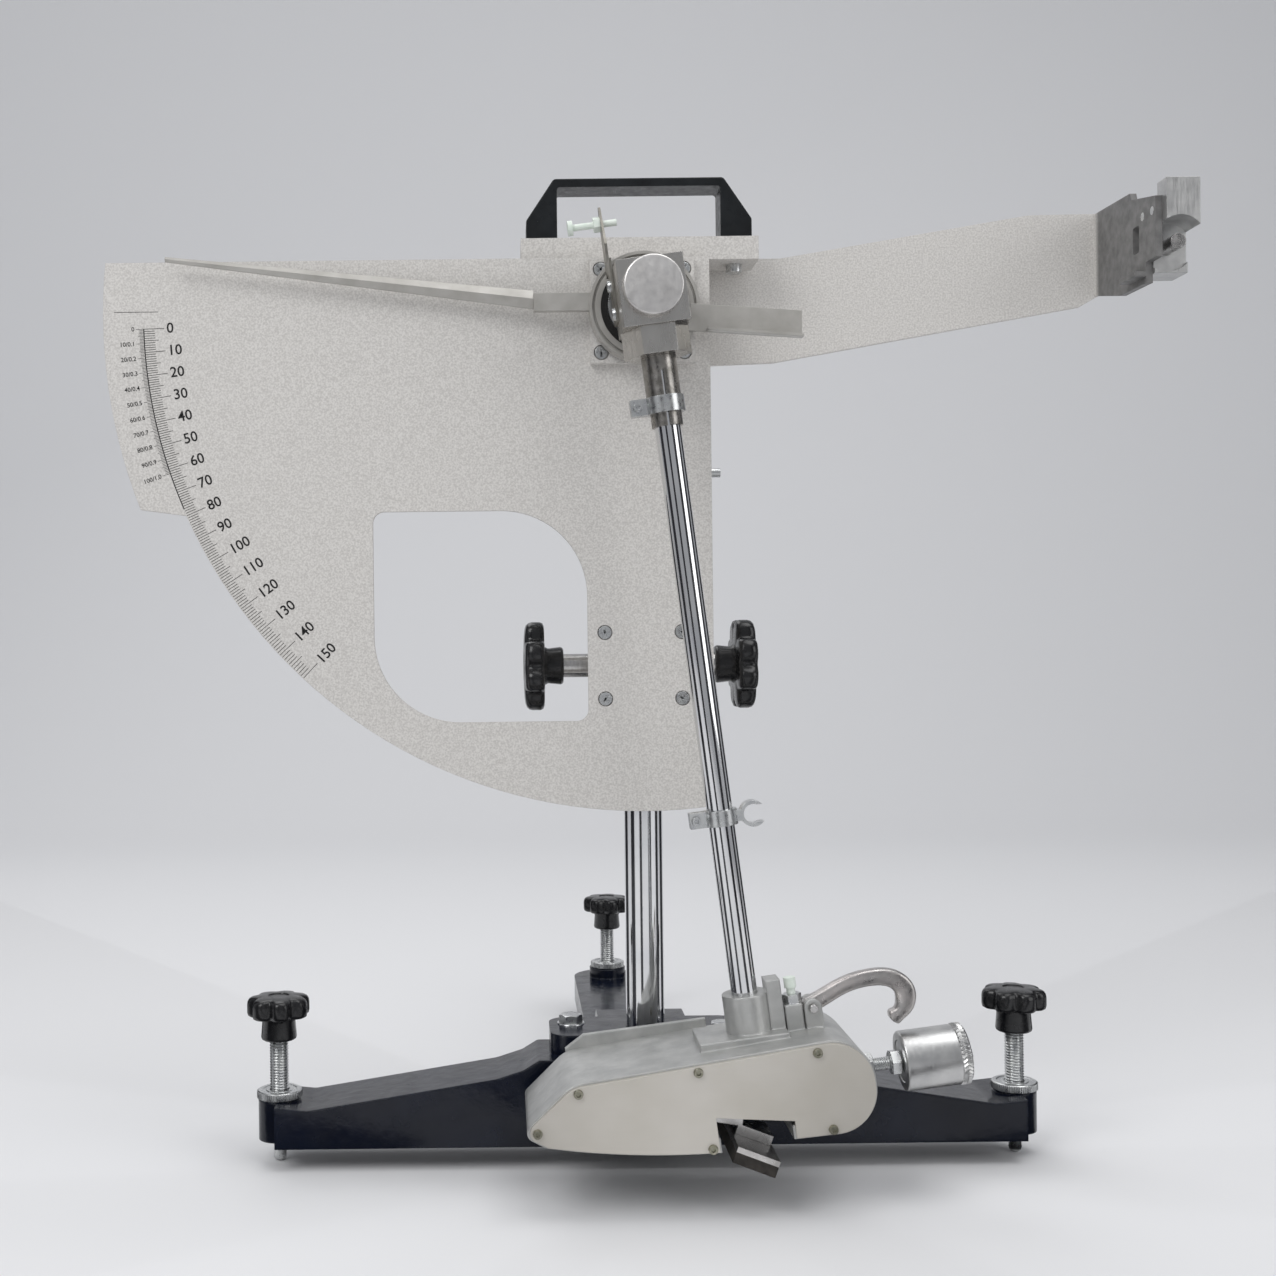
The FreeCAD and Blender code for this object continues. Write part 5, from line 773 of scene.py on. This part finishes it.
# Strap behind the head that carries the pointer along: a blackened steel strip with a white nylon
# adjusting screw through its top. A second nylon screw, with a plated nut under it, stops the lifting
# lever on the foot.
strip = finish_of("strap_steel", (0.34, 0.33, 0.30), 1.0, 0.34,
                  mottle=((0.006, 4), (0.26, 0.25, 0.22), (0.42, 0.40, 0.36)),
                  skin=((0.0015, 3), 0.00004, 0.5, 0.0004))
dress(strip, "driver_arm")
nylon = finish_of("white_nylon", (0.75, 0.80, 0.72), 0.0, 0.45,
                  mottle=((0.004, 3), (0.70, 0.78, 0.70), (0.80, 0.85, 0.79)),
                  skin=((0.002, 2), 0.00004, 0.3, 0.0004))
nylon_sockets = nylon.node_tree.nodes["Principled BSDF"].inputs
nylon_sockets["Subsurface Weight"].default_value = 0.25
nylon_sockets["Subsurface Radius"].default_value = (0.002, 0.002, 0.002)
dress(nylon, "adjusting_screws")
grown("stop_screw_nut", hexagons, "pendulum", zinc,
      {"Width": 0.010, "Height": 0.0050, "Washer": 0.0056, "Washer Height": 0.0006, "Shank": 0.0030,
       "Depth": 0.0001}, pivot, (0, -tilt, 0), [(0.027, 0, -0.4215)])


# Foot of the pendulum: a hollow sand-cast aluminium body, blasted and sprayed silver-grey, with the
# socket for the tube, the pads of the covers and the lug of the lever cast on.
cast = finish_of("cast_silver", (0.5, 0.52, 0.52), 0.7, 0.4,
                 mottle=((0.014, 4), (0.46, 0.465, 0.455), (0.60, 0.60, 0.585)),
                 sheen=((0.004, 3), 0.34, 0.48), worn=((0.62, 0.63, 0.63), 0.0016, 0.45),
                 skin=((0.0018, 3), 0.00012, 0.5, 0.0018))
dress(cast, "foot_casting")


# Covers of the foot: two flat plates, screwed on front and back. The front one is satin aluminium with a
# warm tint, the rear one is sprayed with the casting.
satin = finish_of("satin_plate", (0.60, 0.57, 0.51), 0.45, 0.4,
                  mottle=((0.05, 3), (0.56, 0.53, 0.47), (0.64, 0.61, 0.56)),
                  sheen=((0.0012, 2, (0.08, 1, 1)), 0.36, 0.46), worn=((0.72, 0.70, 0.66), 0.0007, 0.6),
                  skin=((0.0010, 2, (0.1, 1, 1)), 0.00001, 0.5, 0.0006))
dress(satin, "foot_front_cover")
dress(cast, "foot_rear_cover")


# Screws of the pendulum: twelve small socket screws in the covers, two in the strap and one in each
# clamp. The cover screws are dulled steel and the others zinc plated, all with a hexagon socket.
sockets, given = sized_tree("socket_screws", "Radius", "Height", "Socket", "Sunk")
top = reckon(sockets, "MULTIPLY", given["Radius"], 0.88)
head = put(sockets, "GeometryNodeMeshCone", {"Vertices": 24, "Radius Bottom": given["Radius"],
                                             "Radius Top": top, "Depth": given["Height"]})
hole = put(sockets, "GeometryNodeMeshCylinder",
           {"Vertices": 6, "Radius": given["Socket"], "Depth": given["Sunk"]})
at_top = shifted(sockets, hole["Mesh"], z=given["Height"])
cut_head = put(sockets, "GeometryNodeMeshBoolean", {0: head["Mesh"], 1: at_top}, operation="DIFFERENCE")
set_on_spots(sockets, given, cut_head["Mesh"], step=0.9)

dull = finish_of("dulled_screw", (0.34, 0.33, 0.26), 1.0, 0.36,
                 mottle=((0.0015, 3), (0.26, 0.26, 0.19), (0.42, 0.40, 0.33)),
                 skin=((0.0007, 3), 0.00003, 0.4, 0.0003))

cover_spots = [(-0.1045, 0.446), (-0.0365, 0.443), (0.031, 0.441), (-0.130, 0.465), (-0.034, 0.4865),
               (0.034, 0.4845)]
above_cover = 0.0405
cover_sizes = {"Radius": 0.0028, "Height": 0.0019, "Socket": 0.0014, "Sunk": 0.0026}
to_front, to_back = (math.radians(90), -tilt, 0), (math.radians(-90), -tilt, 0)
front_screws = grown("front_cover_screws", sockets, "pendulum", dull, cover_sizes, pivot, to_front,
                     [(v, -u, above_cover) for v, u in cover_spots])
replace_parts(front_screws, "pendulum_screws")
grown("rear_cover_screws", sockets, "pendulum", dull, cover_sizes, pivot, to_back,
      [(v, u, above_cover) for v, u in cover_spots])
grown("clamp_screws", sockets, "pendulum", zinc,
      {"Radius": 0.0028, "Height": 0.0025, "Socket": 0.0014, "Sunk": 0.0030}, pivot, to_front,
      [(-0.0164, -0.06585, 0.0041), (-0.0149, -0.3086, 0.0041)])
strap_turn = (pendulum @ Matrix.Rotation(-math.pi / 2, 4, "Y")).to_euler()
grown("strap_screws", sockets, "pendulum", zinc,
      {"Radius": 0.0038, "Height": 0.0018, "Socket": 0.0018, "Sunk": 0.0024}, pivot, tuple(strap_turn),
      [(-0.0082, 0.006, 0.0209), (0.0098, 0.013, 0.0209)])


# Slider: a flat rubber pad bonded on an aluminium backing plate, held by the trailing arm in the bay of
# the foot. The rubber is mottled a faint brown-grey.
rubber = finish_of("slider_rubber", (0.018, 0.017, 0.016), 0.0, 0.7, 0.3,
                   mottle=((0.006, 4), (0.018, 0.016, 0.014), (0.05, 0.044, 0.038)),
                   skin=((0.0008, 3), 0.00008, 0.6, 0.0005))
dress(rubber, "slider_rubber")
bright = finish_of("bright_aluminium", (0.72, 0.70, 0.68), 1.0, 0.3,
                   mottle=((0.01, 3), (0.55, 0.53, 0.51), (0.74, 0.72, 0.70)),
                   sheen=((0.002, 3, (1, 8, 1)), 0.24, 0.4),
                   skin=((0.0008, 2, (1, 0.1, 1)), 0.00003, 0.4, 0.0004))
dress(bright, "slider_backing_plate")


# Lifting lever: a curved forging of plated steel with a rounded bulb at its end, pinned in the lug of
# the foot. The plating has gone cloudy, with a warm tint in patches.
plated = finish_of("cloudy_plate", (0.58, 0.56, 0.54), 1.0, 0.32,
                   mottle=((0.010, 4), (0.46, 0.45, 0.44), (0.66, 0.62, 0.60)),
                   sheen=((0.003, 4), 0.24, 0.42), skin=((0.004, 4), 0.00015, 0.5, 0.0012))


def swept_bar(path, depth):
    """Corners and faces of a smooth bar along a path of (x, height, width), with rounded oblong sections."""
    shape = bpy.data.curves.new("lever_line", "CURVE")
    shape.dimensions = "3D"
    line = shape.splines.new("NURBS")
    line.points.add(len(path) - 1)
    for point, (x, z, width) in zip(line.points, path):
        point.co = (x, width, z, 1)
    line.order_u = 4
    line.use_endpoint_u = True
    line.resolution_u = 6
    drawn = bpy.data.objects.new("lever_line", shape)
    centre = [Vector(v.co) for v in bpy.data.meshes.new_from_object(drawn).vertices]
    bpy.data.objects.remove(drawn)
    corners, sides = [], []
    steps, squareness = 20, 0.45
    for i, spot in enumerate(centre):
        along = centre[min(i + 1, len(centre) - 1)] - centre[max(i - 1, 0)]
        across = Vector((-along.z, 0, along.x)).normalized()
        for k in range(steps):
            c, s = math.cos(2 * math.pi * k / steps), math.sin(2 * math.pi * k / steps)
            wide = math.copysign(abs(c) ** squareness, c) * spot.y / 2
            deep = math.copysign(abs(s) ** squareness, s) * depth / 2
            corners.append(Vector((spot.x, deep, spot.z)) + across * wide)
    for i in range(len(centre) - 1):
        for k in range(steps):
            after = (k + 1) % steps
            sides.append((i * steps + k, i * steps + after, (i + 1) * steps + after, (i + 1) * steps + k))
    sides.append(tuple(range(steps)))
    sides.append(tuple((len(centre) - 1) * steps + k for k in range(steps)))
    return corners, sides


lever_path = [(-0.002, 0, 0.0096), (0.006, 0.003, 0.0092), (0.015, 0.0075, 0.0088), (0.026, 0.0110, 0.0090),
              (0.038, 0.0120, 0.0094), (0.049, 0.0105, 0.0104), (0.0565, 0.0030, 0.0122),
              (0.0550, -0.0070, 0.0112), (0.0500, -0.0115, 0.0070), (0.0478, -0.0125, 0.0098),
              (0.0462, -0.0134, 0.0090), (0.0452, -0.0140, 0.0030)]
lever_at = pendulum @ Matrix.Translation((0.0375, 0, -0.4245))
lever = solid_of("lever_bar", "lever", plated, *swept_bar(lever_path, 0.0082), lever_at, angle=40)
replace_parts(lever, "lifting_lever")
across_foot = lever_at @ Matrix.Rotation(math.pi / 2, 4, "X")
turned_piece("lever_eye", "lever", plated,
             [(0, -0.0041), (0.0046, -0.0041), (0.0051, -0.0036), (0.0051, 0.0036), (0.0046, 0.0041),
              (0, 0.0041)], across_foot, steps=40)
turned_piece("lever_pin", "lever", steel,
             [(0, -0.0101), (0.0022, -0.0101), (0.0025, -0.0098), (0.0025, 0.0098), (0.0022, 0.0101),
              (0, 0.0101)], across_foot, steps=28)


# Balance: a threaded rod in the heel of the foot with two hexagon nuts, and a polished steel weight
# that is screwed along it by the knurled ring on its end.
along_rod = (0, math.radians(90) - tilt, 0)


def on_rod(v):
    """A place on the rod's axis, at a distance from the pivot line."""
    return pendulum @ Vector((v, 0, -0.464))


rod_thread = grown("balance_thread", threads, "pendulum", zinc,
                   {"Radius": 0.0039, "Depth": 0.0005, "Pitch": 0.00125, "Length": 0.0715, "Around": 18},
                   on_rod(0.055), along_rod, angle=50)
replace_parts(rod_thread, "balance_rod")
grown("balance_nuts", hexagons, "pendulum", zinc,
      {"Width": 0.013, "Height": 0.0054, "Washer": 0.0064, "Washer Height": 0.0006, "Shank": 0.0045,
       "Depth": 0.0001}, on_rod(0), along_rod, [(0, 0, 0.0625), (0, 0, 0.0785)])

weight_steel = finish_of("polished_weight", (0.58, 0.58, 0.59), 1.0, 0.2,
                         mottle=((0.012, 3), (0.54, 0.54, 0.54), (0.66, 0.66, 0.65)),
                         sheen=((0.004, 3, (3, 1, 1)), 0.30, 0.42),
                         skin=((0.0012, 2, (3, 1, 1)), 0.00002, 0.4))
weight_at = Matrix.Translation(on_rod(0.085)) @ Matrix.Rotation(math.pi / 2 - tilt, 4, "Y")
weight_profile = [(0.0040, 0.0004), (0.0118, 0.0004), (0.0122, 0), (0.0158, 0), (0.0166, 0.0002),
                  (0.0171, 0.0007), (0.0173, 0.0014), (0.0173, 0.0316), (0.0170, 0.0320), (0.0168, 0.0324),
                  (0.0168, 0.0370), (0.0165, 0.0376), (0.0157, 0.0382), (0.0145, 0.0385), (0.0075, 0.0385),
                  (0.0070, 0.0380), (0.0040, 0.0380)]
weight = turned_piece("weight_body", "weight", weight_steel, weight_profile, weight_at, steps=96)
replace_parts(weight, "balance_weight")
for row, (v, slant) in enumerate(((0.1186, 0.6), (0.1208, -0.6))):
    grown("weight_knurl_%d" % row, knurls, "weight", weight_steel,
          {"Radius": 0.0168, "Ridge": 0.00085, "Height": 0.0028, "Slant": slant, "Count": 44},
          on_rod(v), along_rod, angle=30)
